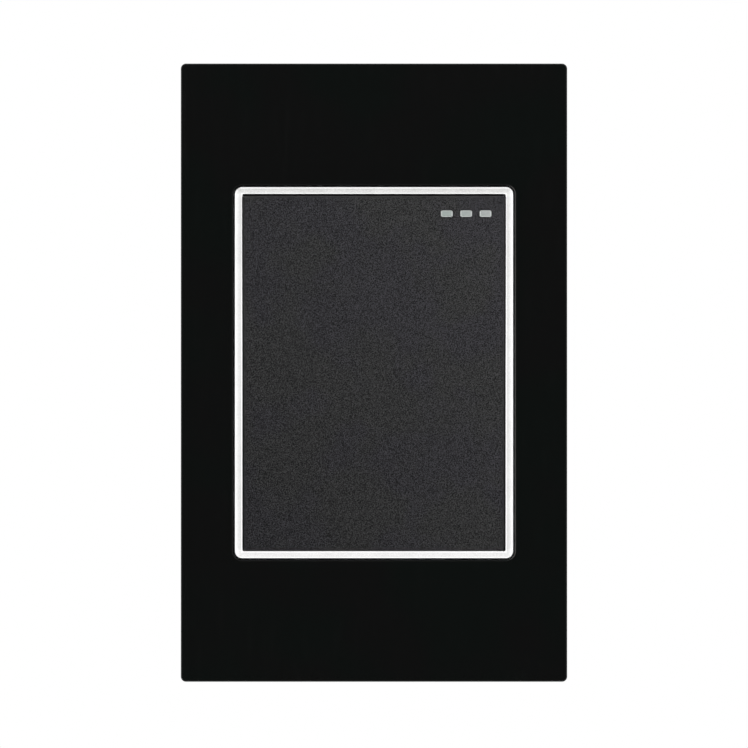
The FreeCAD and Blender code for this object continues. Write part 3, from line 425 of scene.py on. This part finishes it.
def satin_silver(front):
    """Blasted and anodised metal: bright and finely grained, coarser along the top, with painted
    shade along the top bar, painted light along the bottom bar and painted highlights along its
    edges.
    """
    shader = new_finish("satin_silver")
    place = shader.place()
    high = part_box("trim_frame")[1]
    across, inward, up = shader.split(place)
    # How far a point lies from the nearer edge: the outer and the inner one carry a painted
    # highlight.
    side, end = high.x - abs(across), high.z - abs(up)
    outer = side.least(end)
    inner = (front.rim_wide - side).most(front.rim_tall - end)
    from_edge = outer.least(inner)
    # The mask of the painted edge highlight.
    cut = 1 - shader.smooth(from_edge, 0.6 * front.cut_wide, 1.4 * front.cut_wide)
    # Masks of the painted shade along the top bar and the painted light along the bottom bar.
    top = shader.smooth(up, high.z - 1.5 * front.rim_tall, high.z - front.rim_tall)
    grain = shader.noise(place, 0.2 * MM, detail=3.0, rough=0.65)
    clouds = shader.noise(place, 3 * MM)
    foot = shader.smooth(up, front.rim_tall - high.z, 1.5 * front.rim_tall - high.z)
    # Painted light: the side bars are made paler towards the outside, and the top bar towards the
    # inside.
    crown = shader.smooth(side, 0.7 * front.rim_wide, 0.15 * front.rim_wide)
    hollow = top * (end / front.rim_tall - 0.4)
    flat = shader.mix(foot, front.trim_pale, shader.mix(top, front.trim_colour, front.trim_shade))
    flat = shader.shade(flat, 0.97 + 0.06 * shader.smooth(clouds, 0.35, 0.65)
                        + (grain - 0.5) * (0.55 + 0.45 * top) + 0.26 * crown + 0.22 * hollow)
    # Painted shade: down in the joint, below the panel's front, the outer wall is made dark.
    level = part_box("face_plate")[0].y
    sunk = (shader.smooth(inward, level, level + 0.3 * MM)
            * shader.smooth(outer, 0.4 * MM, 0.1 * MM))
    base = shader.mix(sunk, shader.mix(cut, flat, front.trim_cut), front.wall_colour)
    roughness = front.trim_roughness + (grain - 0.5) * 0.2
    return shader.surface(base, roughness, relief=0.006 * MM, height=grain, metallic=1.0)


def graphite(front):
    """Dark metallic paint over a spark-eroded texture, with a fine mottled grain."""
    shader = new_finish("graphite")
    place = shader.place()
    low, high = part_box("rocker_cover")
    across, _, up = shader.split(place)
    _, inward, upward = shader.facing()
    # Painted light: the rocker is made paler towards its right and its top, and a painted highlight
    # runs along its rounded edges.
    to_right = (across - low.x) / (high.x - low.x)
    to_top = (up - low.z) / (high.z - low.z)
    painted_light_slope = 0.34 * to_right + 0.33 * to_top
    grain = shader.noise(place, front.grain_size, detail=3.0, rough=0.7)
    mottle = shader.noise(place, 5.0 * front.grain_size, detail=2.0)
    cast = shader.smooth(shader.noise(place, 11 * MM, detail=2.0), 0.42, 0.62)
    base = shader.mix(cast, front.rocker_colour, front.rocker_cast)
    peaks = shader.smooth(grain, 0.36, 0.64)
    flakes = shader.smooth(shader.cells(place, front.grain_size), 0.3, 0.1)
    # The mask of the painted highlight along the rounded edges.
    rim = shader.smooth(-inward, 0.2, 0.5) * shader.smooth(-inward, 0.99, 0.95)
    texture = 2.7 * peaks + 0.15 * (mottle - 0.5) + 1.7 * flakes
    base = shader.shade(base, painted_light_slope + texture - 0.82 + (0.6 + 1.6 * abs(upward)) * rim)
    roughness = front.rocker_roughness - 0.15 * flakes
    relief = grain * 0.7 + mottle * 0.3
    return shader.surface(base, roughness, relief=0.012 * MM, height=relief, metallic=0.5,
                          specular=0.25)


def pane_front():
    """The lowest and highest corner of the panes' front faces."""
    verts = [vert.co for vert in frame["nodes"]["window_insert"].data.vertices]
    foremost = min(point.y for point in verts)
    spans = list(zip(*[point for point in verts if point.y < foremost + 0.1 * MM]))
    return Vector(map(min, spans)), Vector(map(max, spans))


def pale_window(front):
    """Frosted light guide: pale green to grey from the first pane to the last, with a painted
    highlight round each pane's rim.
    """
    shader = new_finish("pale_window")
    place = shader.place()
    low, high = pane_front()
    pitch = front.pane_pitch
    half = Vector((high.x - low.x - 2 * pitch, 0, high.z - low.z)) / 2
    middle = (low + high) / 2
    across, _, up = shader.split(place)
    along = (across - low.x) / (high.x - low.x)
    aside = across.maths("PINGPONG", across - middle.x, pitch / 2) / half.x
    # The mask of the painted highlight round each pane's rim.
    rim = shader.smooth(aside.most(abs(up - middle.z) / half.z), 0.72, 0.92)
    haze = shader.noise(place, 0.5 * MM, detail=2.0)
    base = shader.mix(along, front.window_green, front.window_grey)
    base = shader.mix(rim * 0.75, shader.shade(base, 0.9 + 0.2 * haze), front.window_rim)
    return shader.surface(base, 0.32 + 0.1 * haze, relief=0.003 * MM, height=haze)


def moulded(name, colour, plastic, roughness, contrast=0.12, relief=0.01 * MM):
    """Moulded plastic: faint flow clouds under a spark-eroded grain."""
    shader = new_finish(name)
    place = shader.place()
    grain = shader.noise(place, plastic.grain_size, detail=3.0, rough=0.6)
    flow = shader.noise(shader.stretch(place, (1.0, 1.0, 0.35)), 9 * MM, detail=3.0)
    base = shader.shade(colour, 1 - contrast + contrast * (grain + flow))
    return shader.surface(base, roughness + (grain - 0.5) * 0.16, relief=relief, height=grain)


def foam(plastic):
    """Closed cell foam: round pores and a soft dark grey."""
    shader = new_finish("foam")
    place = shader.place()
    pores = shader.smooth(shader.cells(place, 0.3 * MM), 0.1, 0.5)
    base = shader.shade(plastic.tape_colour, 0.55 + 0.6 * pores)
    return shader.surface(base, 0.9, relief=0.06 * MM, height=pores)


def galvanised(metal):
    """Zinc coated sheet: soft crystals, rolling lines and a few duller clouds."""
    shader = new_finish("galvanised")
    place = shader.place()
    facet = shader.split(shader.cells(place, 3.2 * MM, output="Color"))[0]
    rolled = shader.noise(shader.stretch(place, (1.0, 1.0, 0.04)), 0.3 * MM, detail=3.0, rough=0.6)
    clouds = shader.noise(place, 8 * MM, detail=3.0)
    base = shader.shade(metal.steel_colour, 0.80 + 0.14 * facet + 0.12 * rolled)
    roughness = 0.3 + 0.12 * facet + 0.14 * shader.smooth(clouds, 0.4, 0.7)
    return shader.surface(base, roughness, relief=0.004 * MM, height=rolled + 0.4 * facet,
                          metallic=1.0)


def bright_zinc(metal):
    """Bright passivated zinc with a straw cast in patches."""
    shader = new_finish("bright_zinc")
    place = shader.place()
    cast = shader.smooth(shader.noise(place, 1.6 * MM, detail=2.0), 0.42, 0.68)
    grain = shader.noise(place, 0.12 * MM, detail=2.0)
    base = shader.mix(cast * 0.55, metal.zinc_colour, metal.zinc_cast)
    return shader.surface(base, 0.24 + 0.16 * grain, relief=0.003 * MM, height=grain, metallic=1.0)


def rolled_brass(metal):
    """Stamped brass strip: rolling lines and patches that have darkened."""
    shader = new_finish("rolled_brass")
    place = shader.place()
    lines = shader.noise(shader.stretch(place, (1.0, 1.0, 0.05)), 0.25 * MM, detail=3.0)
    dull = shader.smooth(shader.noise(place, 4 * MM, detail=4.0, rough=0.6), 0.45, 0.72)
    base = shader.mix(dull * 0.7, metal.brass_colour, metal.brass_dull)
    base = shader.shade(base, 0.9 + 0.2 * lines)
    return shader.surface(base, 0.26 + 0.12 * lines + 0.15 * dull, relief=0.003 * MM, height=lines,
                          metallic=1.0)


def contact_silver(metal):
    """Silver alloy, a little matt from coining."""
    shader = new_finish("contact_silver")
    place = shader.place()
    coined = shader.noise(place, 0.3 * MM, detail=3.0)
    base = shader.shade(metal.silver_colour, 0.88 + 0.2 * coined)
    return shader.surface(base, 0.28 + 0.2 * coined, relief=0.004 * MM, height=coined, metallic=1.0)


def drawn_steel(metal):
    """Drawn spring wire, with fine die marks."""
    shader = new_finish("drawn_steel")
    place = shader.place()
    marks = shader.noise(place, 0.15 * MM, detail=3.0, rough=0.6)
    base = shader.shade(metal.spring_colour, 0.8 + 0.4 * marks)
    return shader.surface(base, 0.25 + 0.2 * marks, relief=0.002 * MM, height=marks, metallic=1.0)


def dress(node, finish, edge=0.0):
    """Give a CAD node its finish and, where the real edges are broken, a fine rounding."""
    piece = frame["nodes"][node]
    piece.material_slots[0].material = finish
    if edge:
        soften(piece, edge)


def soften(piece, width):
    """Round a piece's sharp edges, once its flat faces are whole again."""
    weld = piece.modifiers.new("weld", "WELD")
    weld.merge_threshold = WELD
    whole = piece.modifiers.new("whole_faces", "DECIMATE")
    whole.decimate_type = "DISSOLVE"
    whole.angle_limit = FLAT_ANGLE
    rounding = piece.modifiers.new("broken_edges", "BEVEL")
    rounding.width = width
    rounding.segments = 2
    rounding.limit_method = "ANGLE"
    rounding.angle_limit = SHARP_ANGLE
    rounding.harden_normals = True


def solids(node):
    """The lowest and highest corner of each separate solid in a CAD node."""
    mesh = bmesh.new()
    mesh.from_mesh(frame["nodes"][node].data)
    bmesh.ops.remove_doubles(mesh, verts=mesh.verts, dist=WELD)
    seen = set()
    boxes = []
    for start in mesh.verts:
        if start in seen:
            continue
        seen.add(start)
        group = [start]
        for vert in group:
            for edge in vert.link_edges:
                other = edge.other_vert(vert)
                if other not in seen:
                    seen.add(other)
                    group.append(other)
        spans = [[vert.co[axis] for vert in group] for axis in range(3)]
        boxes.append((Vector(map(min, spans)), Vector(map(max, spans))))
    mesh.free()
    return sorted(boxes, key=lambda corners: tuple(corners[0]))


def new_piece(name, mesh, finish, at=(0, 0, 0)):
    """Make an object of a bmesh, with smooth faces between its sharp edges."""
    bmesh.ops.recalc_face_normals(mesh, faces=mesh.faces)
    data = bpy.data.meshes.new(name)
    mesh.to_mesh(data)
    mesh.free()
    data.materials.append(finish)
    piece = bpy.data.objects.new(name, data)
    piece.location = at
    bpy.context.scene.collection.objects.link(piece)
    smooth_faces(data)
    return piece


def smooth_faces(data):
    data.shade_smooth()
    data.set_sharp_from_angle(angle=SMOOTH_ANGLE)


def skin(rings):
    """A bmesh of rings of equal count joined to a skin; a ring of one point is a tip."""
    mesh = bmesh.new()
    verts = [[mesh.verts.new(point) for point in ring] for ring in rings]
    for here, there in zip(verts, verts[1:]):
        count = max(len(here), len(there))
        for index in range(count):
            after = (index + 1) % count
            corners = [here[index % len(here)], here[after % len(here)],
                       there[after % len(there)], there[index % len(there)]]
            mesh.faces.new(list(dict.fromkeys(corners)))
    return mesh


def turned(outline, sides):
    """Rings round the Y axis at each radius and level of an outline; a radius of 0 makes a tip."""
    turns = [FULL_TURN * side / sides for side in range(sides)]
    rings = []
    for radius, level in outline:
        ring = [Vector((radius * math.cos(turn), level, radius * math.sin(turn))) for turn in turns]
        rings.append(ring if radius else [Vector((0, level, 0))])
    return rings


def threaded_rings(radius, deep, pitch, low, high, sides):
    """Rings of a screw thread between two levels, which runs out at both ends."""
    steps = max(2, round((high - low) / pitch * THREAD_STEPS))
    rings = []
    for step in range(steps + 1):
        level = low + (high - low) * step / steps
        strength = min(1.0, (level - low) / pitch, (high - level) / pitch)
        points = []
        for side in range(sides):
            phase = (level / pitch - side / sides) % 1.0
            crest = max(0.0, 1 - FLANK_SLOPE * abs(2 * phase - 1))
            reach = radius - deep + deep * strength * crest
            turn = FULL_TURN * side / sides
            points.append(Vector((reach * math.cos(turn), level, reach * math.sin(turn))))
        rings.append(points)
    return rings


def cross_cutter(reach, fasteners, face):
    """A tapered cross that stands in from a face, as the driver's tip does."""
    half, deep = fasteners.recess_wide / 2, fasteners.recess_deep
    outline = [(reach, -half), (reach, half), (half, half), (half, reach), (-half, reach),
               (-half, half), (-reach, half), (-reach, -half), (-half, -half), (-half, -reach),
               (half, -reach), (half, -half)]
    inner = [Vector((x * RECESS_TAPER, face - deep, z * RECESS_TAPER)) for x, z in outline]
    outer = [Vector((x, face, z)) for x, z in outline]
    clear = [point + Vector((0, deep, 0)) for point in outer]
    mesh = skin([inner, outer, clear])
    mesh.verts.ensure_lookup_table()
    count = len(outline)
    mesh.faces.new([mesh.verts[index] for index in range(count)])
    mesh.faces.new([mesh.verts[index] for index in range(2 * count, 3 * count)])
    return mesh


def carve(piece, mesh, finish):
    """Take a closed mesh, given in the piece's own place, out of the piece."""
    cutter = new_piece("cutter", mesh, finish, piece.location)
    cut = piece.modifiers.new("carve", "BOOLEAN")
    cut.object = cutter
    cut.operation = "DIFFERENCE"
    cut.solver = "EXACT"
    graph = bpy.context.evaluated_depsgraph_get()
    carved = bpy.data.meshes.new_from_object(piece.evaluated_get(graph))
    piece.modifiers.clear()
    piece.data = carved
    smooth_faces(carved)
    bpy.data.objects.remove(cutter)


def make_zinc_pieces(node, look, shape):
    """One detailed piece in the place of each solid of a node: shape gives its body and hollow."""
    finish = bright_zinc(look.metal)
    for number, (low, high) in enumerate(solids(node), 1):
        body, hollow = shape((high - low) / 2)
        piece = new_piece(f"{node.removesuffix('s')}_{number}", body, finish, (low + high) / 2)
        carve(piece, hollow, finish)
        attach(piece, "base")
    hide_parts(node)


def make_screws(node, look, profile):
    """The screws of a node, each with a cross in its head."""

    def screw(half):
        cross = cross_cutter(RECESS_REACH * half.x, look.fasteners, half.y)
        return skin(profile(-half.y, half.y, half.x)), cross

    make_zinc_pieces(node, look, screw)


def ridged_block(half, fasteners):
    """A square block with grip ridges across its near side."""
    points = [(-half.x, half.y), (-half.x, -half.y)]
    step = 2 * half.x / fasteners.clamp_ridges
    for index in range(1, fasteners.clamp_ridges):
        across = -half.x + index * step
        points.append((across - 0.25 * step, -half.y))
        points.append((across, -half.y + fasteners.ridge_deep))
        points.append((across + 0.25 * step, -half.y))
    points += [(half.x, -half.y), (half.x, half.y)]
    mesh = bmesh.new()
    outline = mesh.faces.new([mesh.verts.new((x, y, -half.z)) for x, y in points])
    raised = bmesh.ops.extrude_face_region(mesh, geom=[outline])
    verts = [item for item in raised["geom"] if isinstance(item, bmesh.types.BMVert)]
    bmesh.ops.translate(mesh, verts=verts, vec=(0, 0, 2 * half.z))
    return mesh


def pan_head(seat, top, radius, sides):
    """Rings of a low domed head, from under its rim to its crown."""
    tall = top - seat
    shoulder, steps = 0.3 * tall, 4
    outline = [(radius - 0.03 * tall, seat), (radius, seat + 0.05 * tall)]
    for step in range(steps + 1):
        turn = math.pi / 2 * step / steps
        outline.append((radius - 1.2 * shoulder * (1 - math.cos(turn)),
                        top - shoulder * (1 - math.sin(turn))))
    return turned([*outline, (0, top)], sides)


def wound_wire(near, far, radius, coil):
    """Rings of a compression spring's wire round the Y axis, with closed and ground ends."""
    half = coil.wire / 2
    ground = 0.8 * half
    first, last = near + ground, far - ground
    sides = [FULL_TURN * side / coil.wire_sides for side in range(coil.wire_sides)]
    count = round(coil.turns * coil.turn_steps)
    rings = []
    for step in range(count + 1):
        turn = coil.turns * step / count
        share = min(max((turn - 1) / (coil.turns - 2), 0), 1)
        closed = coil.closed_pitch * (min(turn, 1) - min(coil.turns - turn, 1) + 1)
        level = first + closed + share * (last - first - 2 * coil.closed_pitch)
        points = []
        for side in sides:
            reach = radius - half + half * math.cos(side)
            height = min(max(level + half * math.sin(side), near), far)
            points.append(Vector((reach * math.cos(FULL_TURN * turn), height,
                                  reach * math.sin(FULL_TURN * turn))))
        rings.append(points)
    ends = [[sum(ring_points, Vector()) / len(sides)] for ring_points in (rings[0], rings[-1])]
    return [ends[0], *rings, ends[1]]


class SwitchOperator:
    """What the operators share: their settings, and undo."""

    bl_options = {"REGISTER", "UNDO"}

    @property
    def look(self):
        return bpy.context.scene.wall_switch


def softbox(name, place, side, radiance):
    """A square lamp that faces the part's middle."""
    data = bpy.data.lights.new(name, "AREA")
    data.size = side
    data.energy = radiance * side * side * math.pi
    lamp = bpy.data.objects.new(name, data)
    lamp.location = place
    lamp.rotation_euler = (-Vector(place)).to_track_quat("-Z", "Y").to_euler()
    bpy.context.scene.collection.objects.link(lamp)


def studio_world(stage):
    """Light by direction: none at the lens, bright round it, dim aside and white behind."""
    world = bpy.data.worlds.new("studio")
    bpy.context.scene.world = world
    shader = Shader(world)
    _, along, _ = shader.split(shader.node("ShaderNodeTexCoord", output="Generated"))
    angle = along.maths("ARCCOSINE", -along)
    soft = stage.soft_edge
    lit = shader.smooth(angle, stage.dark_angle, stage.dark_angle + 0.5 * soft)
    ahead = 1 - shader.smooth(angle, stage.front_angle, stage.front_angle + soft)
    behind = shader.smooth(angle, stage.behind_angle, stage.behind_angle + 2 * soft)
    seen, glossy = shader.rays()
    sides = stage.side_level + ahead * (stage.front_level - stage.side_level)
    level = lit * (sides + behind * (stage.behind_level - sides))
    white = seen.most(glossy * behind)
    colour = shader.mix(white, shader.shade((1.0, 1.0, 1.0), level), (1.0, 1.0, 1.0))
    background = shader.node("ShaderNodeBackground", {}, {"Color": colour, "Strength": 1.0})
    shader.node("ShaderNodeOutputWorld", {}, {"Surface": background})


def pale_floor(stage):
    """A matt floor, clear from below, that fades out towards its rim to meet the backdrop."""
    shader = new_finish("pale_floor")
    across, along, _ = shader.split(shader.place())
    away = (across ** 2.0 + along ** 2.0) ** 0.5
    fade = shader.smooth(away, FADE_START * stage.floor_reach, FADE_END * stage.floor_reach)
    below = shader.node("ShaderNodeNewGeometry", output="Backfacing")
    seen, glossy = shader.rays()
    matt = shader.node("ShaderNodeBsdfDiffuse", {}, {"Color": stage.floor_colour})
    white = shader.node("ShaderNodeEmission", {}, {"Color": (1.0, 1.0, 1.0)})
    pale = shader.node("ShaderNodeMixShader", {}, {
        0: seen.most(glossy) * stage.floor_white, 1: matt, 2: white})
    clear = shader.node("ShaderNodeBsdfTransparent")
    shader.node("ShaderNodeOutputMaterial", {}, {
        "Surface": shader.node("ShaderNodeMixShader", {}, {
            0: fade.most(below), 1: pale, 2: clear})})
    return shader.owner


class WALLSWITCH_OT_stage(SwitchOperator, Operator):
    """Set up the camera, the soft studio light and the pale floor"""

    bl_idname = "wall_switch.stage"
    bl_label = "Stage"

    def execute(self, context):
        stage = self.look.stage
        data = bpy.data.cameras.new("camera")
        data.lens = stage.focal_length
        camera = bpy.data.objects.new("camera", data)
        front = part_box("face_plate")[0].y
        camera.location = (0, front - stage.distance, -stage.aim_drop)
        camera.rotation_euler = (math.pi / 2, 0, 0)
        context.scene.collection.objects.link(camera)
        context.scene.camera = camera
        context.scene.view_settings.view_transform = "Standard"
        studio_world(stage)
        softbox("key_softbox", stage.key_place, stage.key_side, stage.key_level)
        softbox("fill_softbox", stage.fill_place, stage.fill_side, stage.fill_level)
        softbox("rear_softbox", stage.rear_place, stage.rear_side, stage.rear_level)
        mesh = bmesh.new()
        bmesh.ops.create_circle(mesh, cap_ends=True, segments=64, radius=stage.floor_reach)
        floor = new_piece("floor", mesh, pale_floor(stage), (0, 0, CAD_LOW.z - stage.floor_drop))
        if floor.data.polygons[0].normal.z < 0:
            floor.data.flip_normals()
        return {"FINISHED"}


class WALLSWITCH_OT_face_plate(SwitchOperator, Operator):
    """Finish the gloss black panel"""

    bl_idname = "wall_switch.face_plate"
    bl_label = "Face Plate"

    def execute(self, context):
        dress("face_plate", gloss_black(self.look.front))
        return {"FINISHED"}


class WALLSWITCH_OT_bonding_tape(SwitchOperator, Operator):
    """Finish the foam tape behind the panel"""

    bl_idname = "wall_switch.bonding_tape"
    bl_label = "Bonding Tape"

    def execute(self, context):
        dress("bonding_tape", foam(self.look.plastic))
        return {"FINISHED"}


class WALLSWITCH_OT_plate_carrier(SwitchOperator, Operator):
    """Finish the moulded carrier behind the panel"""

    bl_idname = "wall_switch.plate_carrier"
    bl_label = "Plate Carrier"

    def execute(self, context):
        plastic = self.look.plastic
        black = moulded("carrier_black", plastic.carrier_colour, plastic, roughness=0.48,
                        contrast=0.2, relief=0.016 * MM)
        dress("plate_carrier", black, edge=0.12 * MM)
        return {"FINISHED"}


class WALLSWITCH_OT_trim_frame(SwitchOperator, Operator):
    """Finish the satin silver frame round the rocker"""

    bl_idname = "wall_switch.trim_frame"
    bl_label = "Trim Frame"

    def execute(self, context):
        dress("trim_frame", satin_silver(self.look.front))
        return {"FINISHED"}


class WALLSWITCH_OT_mounting_frame(SwitchOperator, Operator):
    """Finish the pressed steel frame"""

    bl_idname = "wall_switch.mounting_frame"
    bl_label = "Mounting Frame"

    def execute(self, context):
        dress("mounting_frame", galvanised(self.look.metal), edge=0.1 * MM)
        return {"FINISHED"}


class WALLSWITCH_OT_rocker_cover(SwitchOperator, Operator):
    """Finish the graphite rocker"""

    bl_idname = "wall_switch.rocker_cover"
    bl_label = "Rocker Cover"

    def execute(self, context):
        dress("rocker_cover", graphite(self.look.front))
        return {"FINISHED"}


class WALLSWITCH_OT_window_insert(SwitchOperator, Operator):
    """Finish the light guide behind the rocker's three windows"""

    bl_idname = "wall_switch.window_insert"
    bl_label = "Window Insert"

    def execute(self, context):
        dress("window_insert", pale_window(self.look.front), edge=0.14 * MM)
        return {"FINISHED"}


class WALLSWITCH_OT_lever(SwitchOperator, Operator):
    """Finish the lever and its plunger"""

    bl_idname = "wall_switch.lever"
    bl_label = "Lever and Plunger"

    def execute(self, context):
        plastic = self.look.plastic
        grey = moulded("lever_grey", plastic.lever_colour, plastic, roughness=0.42)
        white = moulded("plunger_white", plastic.plunger_colour, plastic, roughness=0.3,
                        contrast=0.05, relief=0.003 * MM)
        dress("rocker_lever", grey, edge=0.1 * MM)
        dress("plunger", white)
        return {"FINISHED"}


class WALLSWITCH_OT_spring(SwitchOperator, Operator):
    """Wind the spring behind the plunger"""

    bl_idname = "wall_switch.spring"
    bl_label = "Plunger Spring"

    def execute(self, context):
        joints = {joint["name"]: joint for joint in frame["record"]["behaviour"]["joints"]}
        slide = joints["plunger_slide"]
        axis, pivot = Vector(slide["axis"]), Vector(joints["rocker_tilt"]["pos_m"])
        places = [vert.co - pivot for vert in frame["nodes"]["plunger_spring"].data.vertices]
        levels = [place.dot(axis) for place in places]
        radius = max((place - place.dot(axis) * axis).length for place in places)
        top, foot = max(levels), min(levels)
        mesh = skin(wound_wire(-top, -foot, radius, self.look.spring))
        lean = Vector((0, -1, 0)).rotation_difference(axis).to_matrix()
        bmesh.ops.transform(mesh, matrix=lean.to_4x4(), verts=mesh.verts)
        piece = new_piece("plunger_spring_wound", mesh, drawn_steel(self.look.metal), pivot)
        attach(piece, "rocker")
        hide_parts("plunger_spring")
        tuple(pivot + top * axis)
        1 - slide["range_m"][1] / (top - foot)
        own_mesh(piece)
        return {"FINISHED"}


class WALLSWITCH_OT_housing(SwitchOperator, Operator):
    """Finish the two halves of the mechanism's housing"""

    bl_idname = "wall_switch.housing"
    bl_label = "Housing"

    def execute(self, context):
        plastic = self.look.plastic
        pale = moulded("cover_grey", plastic.cover_colour, plastic, roughness=0.5)
        grey = moulded("base_grey", plastic.base_colour, plastic, roughness=0.5,
                       relief=0.014 * MM)
        dress("housing_cover", pale, edge=0.12 * MM)
        dress("housing_base", grey, edge=0.12 * MM)
        return {"FINISHED"}


class WALLSWITCH_OT_contacts(SwitchOperator, Operator):
    """Finish the contact arm, the terminal strips and the contact buttons"""

    bl_idname = "wall_switch.contacts"
    bl_label = "Contacts and Strips"

    def execute(self, context):
        metal = self.look.metal
        brass = rolled_brass(metal)
        for node in ("contact_arm", "common_terminal", "upper_terminal", "lower_terminal"):
            dress(node, brass, edge=0.06 * MM)
        silver = contact_silver(metal)
        for node in ("moving_contacts", "fixed_contacts"):
            dress(node, silver, edge=0.1 * MM)
        return {"FINISHED"}


class WALLSWITCH_OT_terminal_clamps(SwitchOperator, Operator):
    """Make the square clamps, with grip ridges towards the wire"""

    bl_idname = "wall_switch.terminal_clamps"
    bl_label = "Terminal Clamps"

    def execute(self, context):
        fasteners = self.look.fasteners

        def clamp(half):
            far, radius = 2 * half.y, fasteners.clamp_bore
            bore = turned([(0, -far), (radius, -far), (radius, far), (0, far)], BORE_SIDES)
            return ridged_block(half, fasteners), skin(bore)

        make_zinc_pieces("terminal_clamps", self.look, clamp)
        return {"FINISHED"}


class WALLSWITCH_OT_terminal_screws(SwitchOperator, Operator):
    """Make the threaded screws that clamp the wires"""

    bl_idname = "wall_switch.terminal_screws"
    bl_label = "Terminal Screws"

    def execute(self, context):
        fasteners = self.look.fasteners
        head_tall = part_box("terminal_screws")[1].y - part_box("terminal_clamps")[1].y
        sides, pitch = fasteners.thread_sides, fasteners.terminal_pitch

        def profile(tip, top, radius):
            seat = top - head_tall
            shank, deep = fasteners.terminal_radius, fasteners.terminal_thread
            rings = turned([(0, tip), (shank - deep - 0.15 * MM, tip)], sides)
            rings += threaded_rings(shank, deep, pitch, tip + 0.1 * MM, seat - 0.1 * MM, sides)
            return rings + pan_head(seat, top, radius, sides)

        make_screws("terminal_screws", self.look, profile)
        return {"FINISHED"}


class WALLSWITCH_OT_housing_screws(SwitchOperator, Operator):
    """Make the long thread forming screws that close the housing"""

    bl_idname = "wall_switch.housing_screws"
    bl_label = "Housing Screws"

    def execute(self, context):
        fasteners = self.look.fasteners
        sides, pitch = fasteners.thread_sides, fasteners.housing_pitch

        def profile(tip, top, radius):
            seat = top - fasteners.housing_head
            shank, deep = fasteners.housing_radius, fasteners.housing_thread
            thread_end, plain = tip + fasteners.housing_threaded, shank - 0.05 * MM
            rings = turned([(0, tip), (0.5 * MM, tip)], sides)
            rings += threaded_rings(shank, deep, pitch, tip + 0.4 * MM, thread_end, sides)
            rings += turned([(plain, thread_end + 0.4 * MM), (plain, seat - 0.05 * MM)], sides)
            return rings + pan_head(seat, top, radius, sides)

        make_screws("housing_screws", self.look, profile)
        return {"FINISHED"}


class WALLSWITCH_OT_frame_screws(SwitchOperator, Operator):
    """Make the countersunk screws between the frame and the housing"""

    bl_idname = "wall_switch.frame_screws"
    bl_label = "Frame Screws"

    def execute(self, context):
        fasteners = self.look.fasteners
        sides, pitch = fasteners.thread_sides, fasteners.frame_pitch

        def profile(tip, top, radius):
            shank, deep = fasteners.frame_radius, fasteners.frame_thread
            rim = top - fasteners.frame_land
            cone = rim - (radius - shank)
            rings = turned([(0, tip), (shank - deep - 0.1 * MM, tip)], sides)
            rings += threaded_rings(shank, deep, pitch, tip + 0.1 * MM, cone - 0.05 * MM, sides)
            head = [(shank, cone), (radius, rim), (radius - 0.05 * MM, top), (0, top)]
            return rings + turned(head, sides)

        make_screws("frame_screws", self.look, profile)
        return {"FINISHED"}


PIECES = (
    WALLSWITCH_OT_stage, WALLSWITCH_OT_face_plate, WALLSWITCH_OT_bonding_tape,
    WALLSWITCH_OT_plate_carrier, WALLSWITCH_OT_trim_frame, WALLSWITCH_OT_mounting_frame,
    WALLSWITCH_OT_rocker_cover, WALLSWITCH_OT_window_insert, WALLSWITCH_OT_lever,
    WALLSWITCH_OT_spring, WALLSWITCH_OT_housing, WALLSWITCH_OT_contacts,
    WALLSWITCH_OT_terminal_clamps, WALLSWITCH_OT_terminal_screws, WALLSWITCH_OT_housing_screws,
    WALLSWITCH_OT_frame_screws,
)


class WALLSWITCH_PT_panel(bpy.types.Panel):
    """The switch's settings and its makers, in the order in which they run"""

    bl_idname = "WALLSWITCH_PT_panel"
    bl_label = "Wall Switch"
    bl_space_type = "VIEW_3D"
    bl_region_type = "UI"
    bl_category = "Wall Switch"

    def draw(self, context):
        look = context.scene.wall_switch
        for group in (look.stage, look.front, look.plastic, look.metal, look.fasteners,
                      look.spring):
            box = self.layout.box()
            for name in group.bl_rna.properties.keys():
                if name not in ("rna_type", "name"):
                    box.prop(group, name)
        for piece in PIECES:
            self.layout.operator(piece.bl_idname)


CLASSES = (StageSettings, FrontSettings, PlasticSettings, MetalSettings, FastenerSettings,
           SpringSettings, SwitchSettings, *PIECES, WALLSWITCH_PT_panel)


def register():
    for item in CLASSES:
        bpy.utils.register_class(item)
    bpy.types.Scene.wall_switch = PointerProperty(type=SwitchSettings)


def unregister():
    del bpy.types.Scene.wall_switch
    for item in reversed(CLASSES):
        bpy.utils.unregister_class(item)


def main():
    register()
    for piece in PIECES:
        group, name = piece.bl_idname.split(".")
        getattr(getattr(bpy.ops, group), name)()


if __name__ == "__main__":
    main()
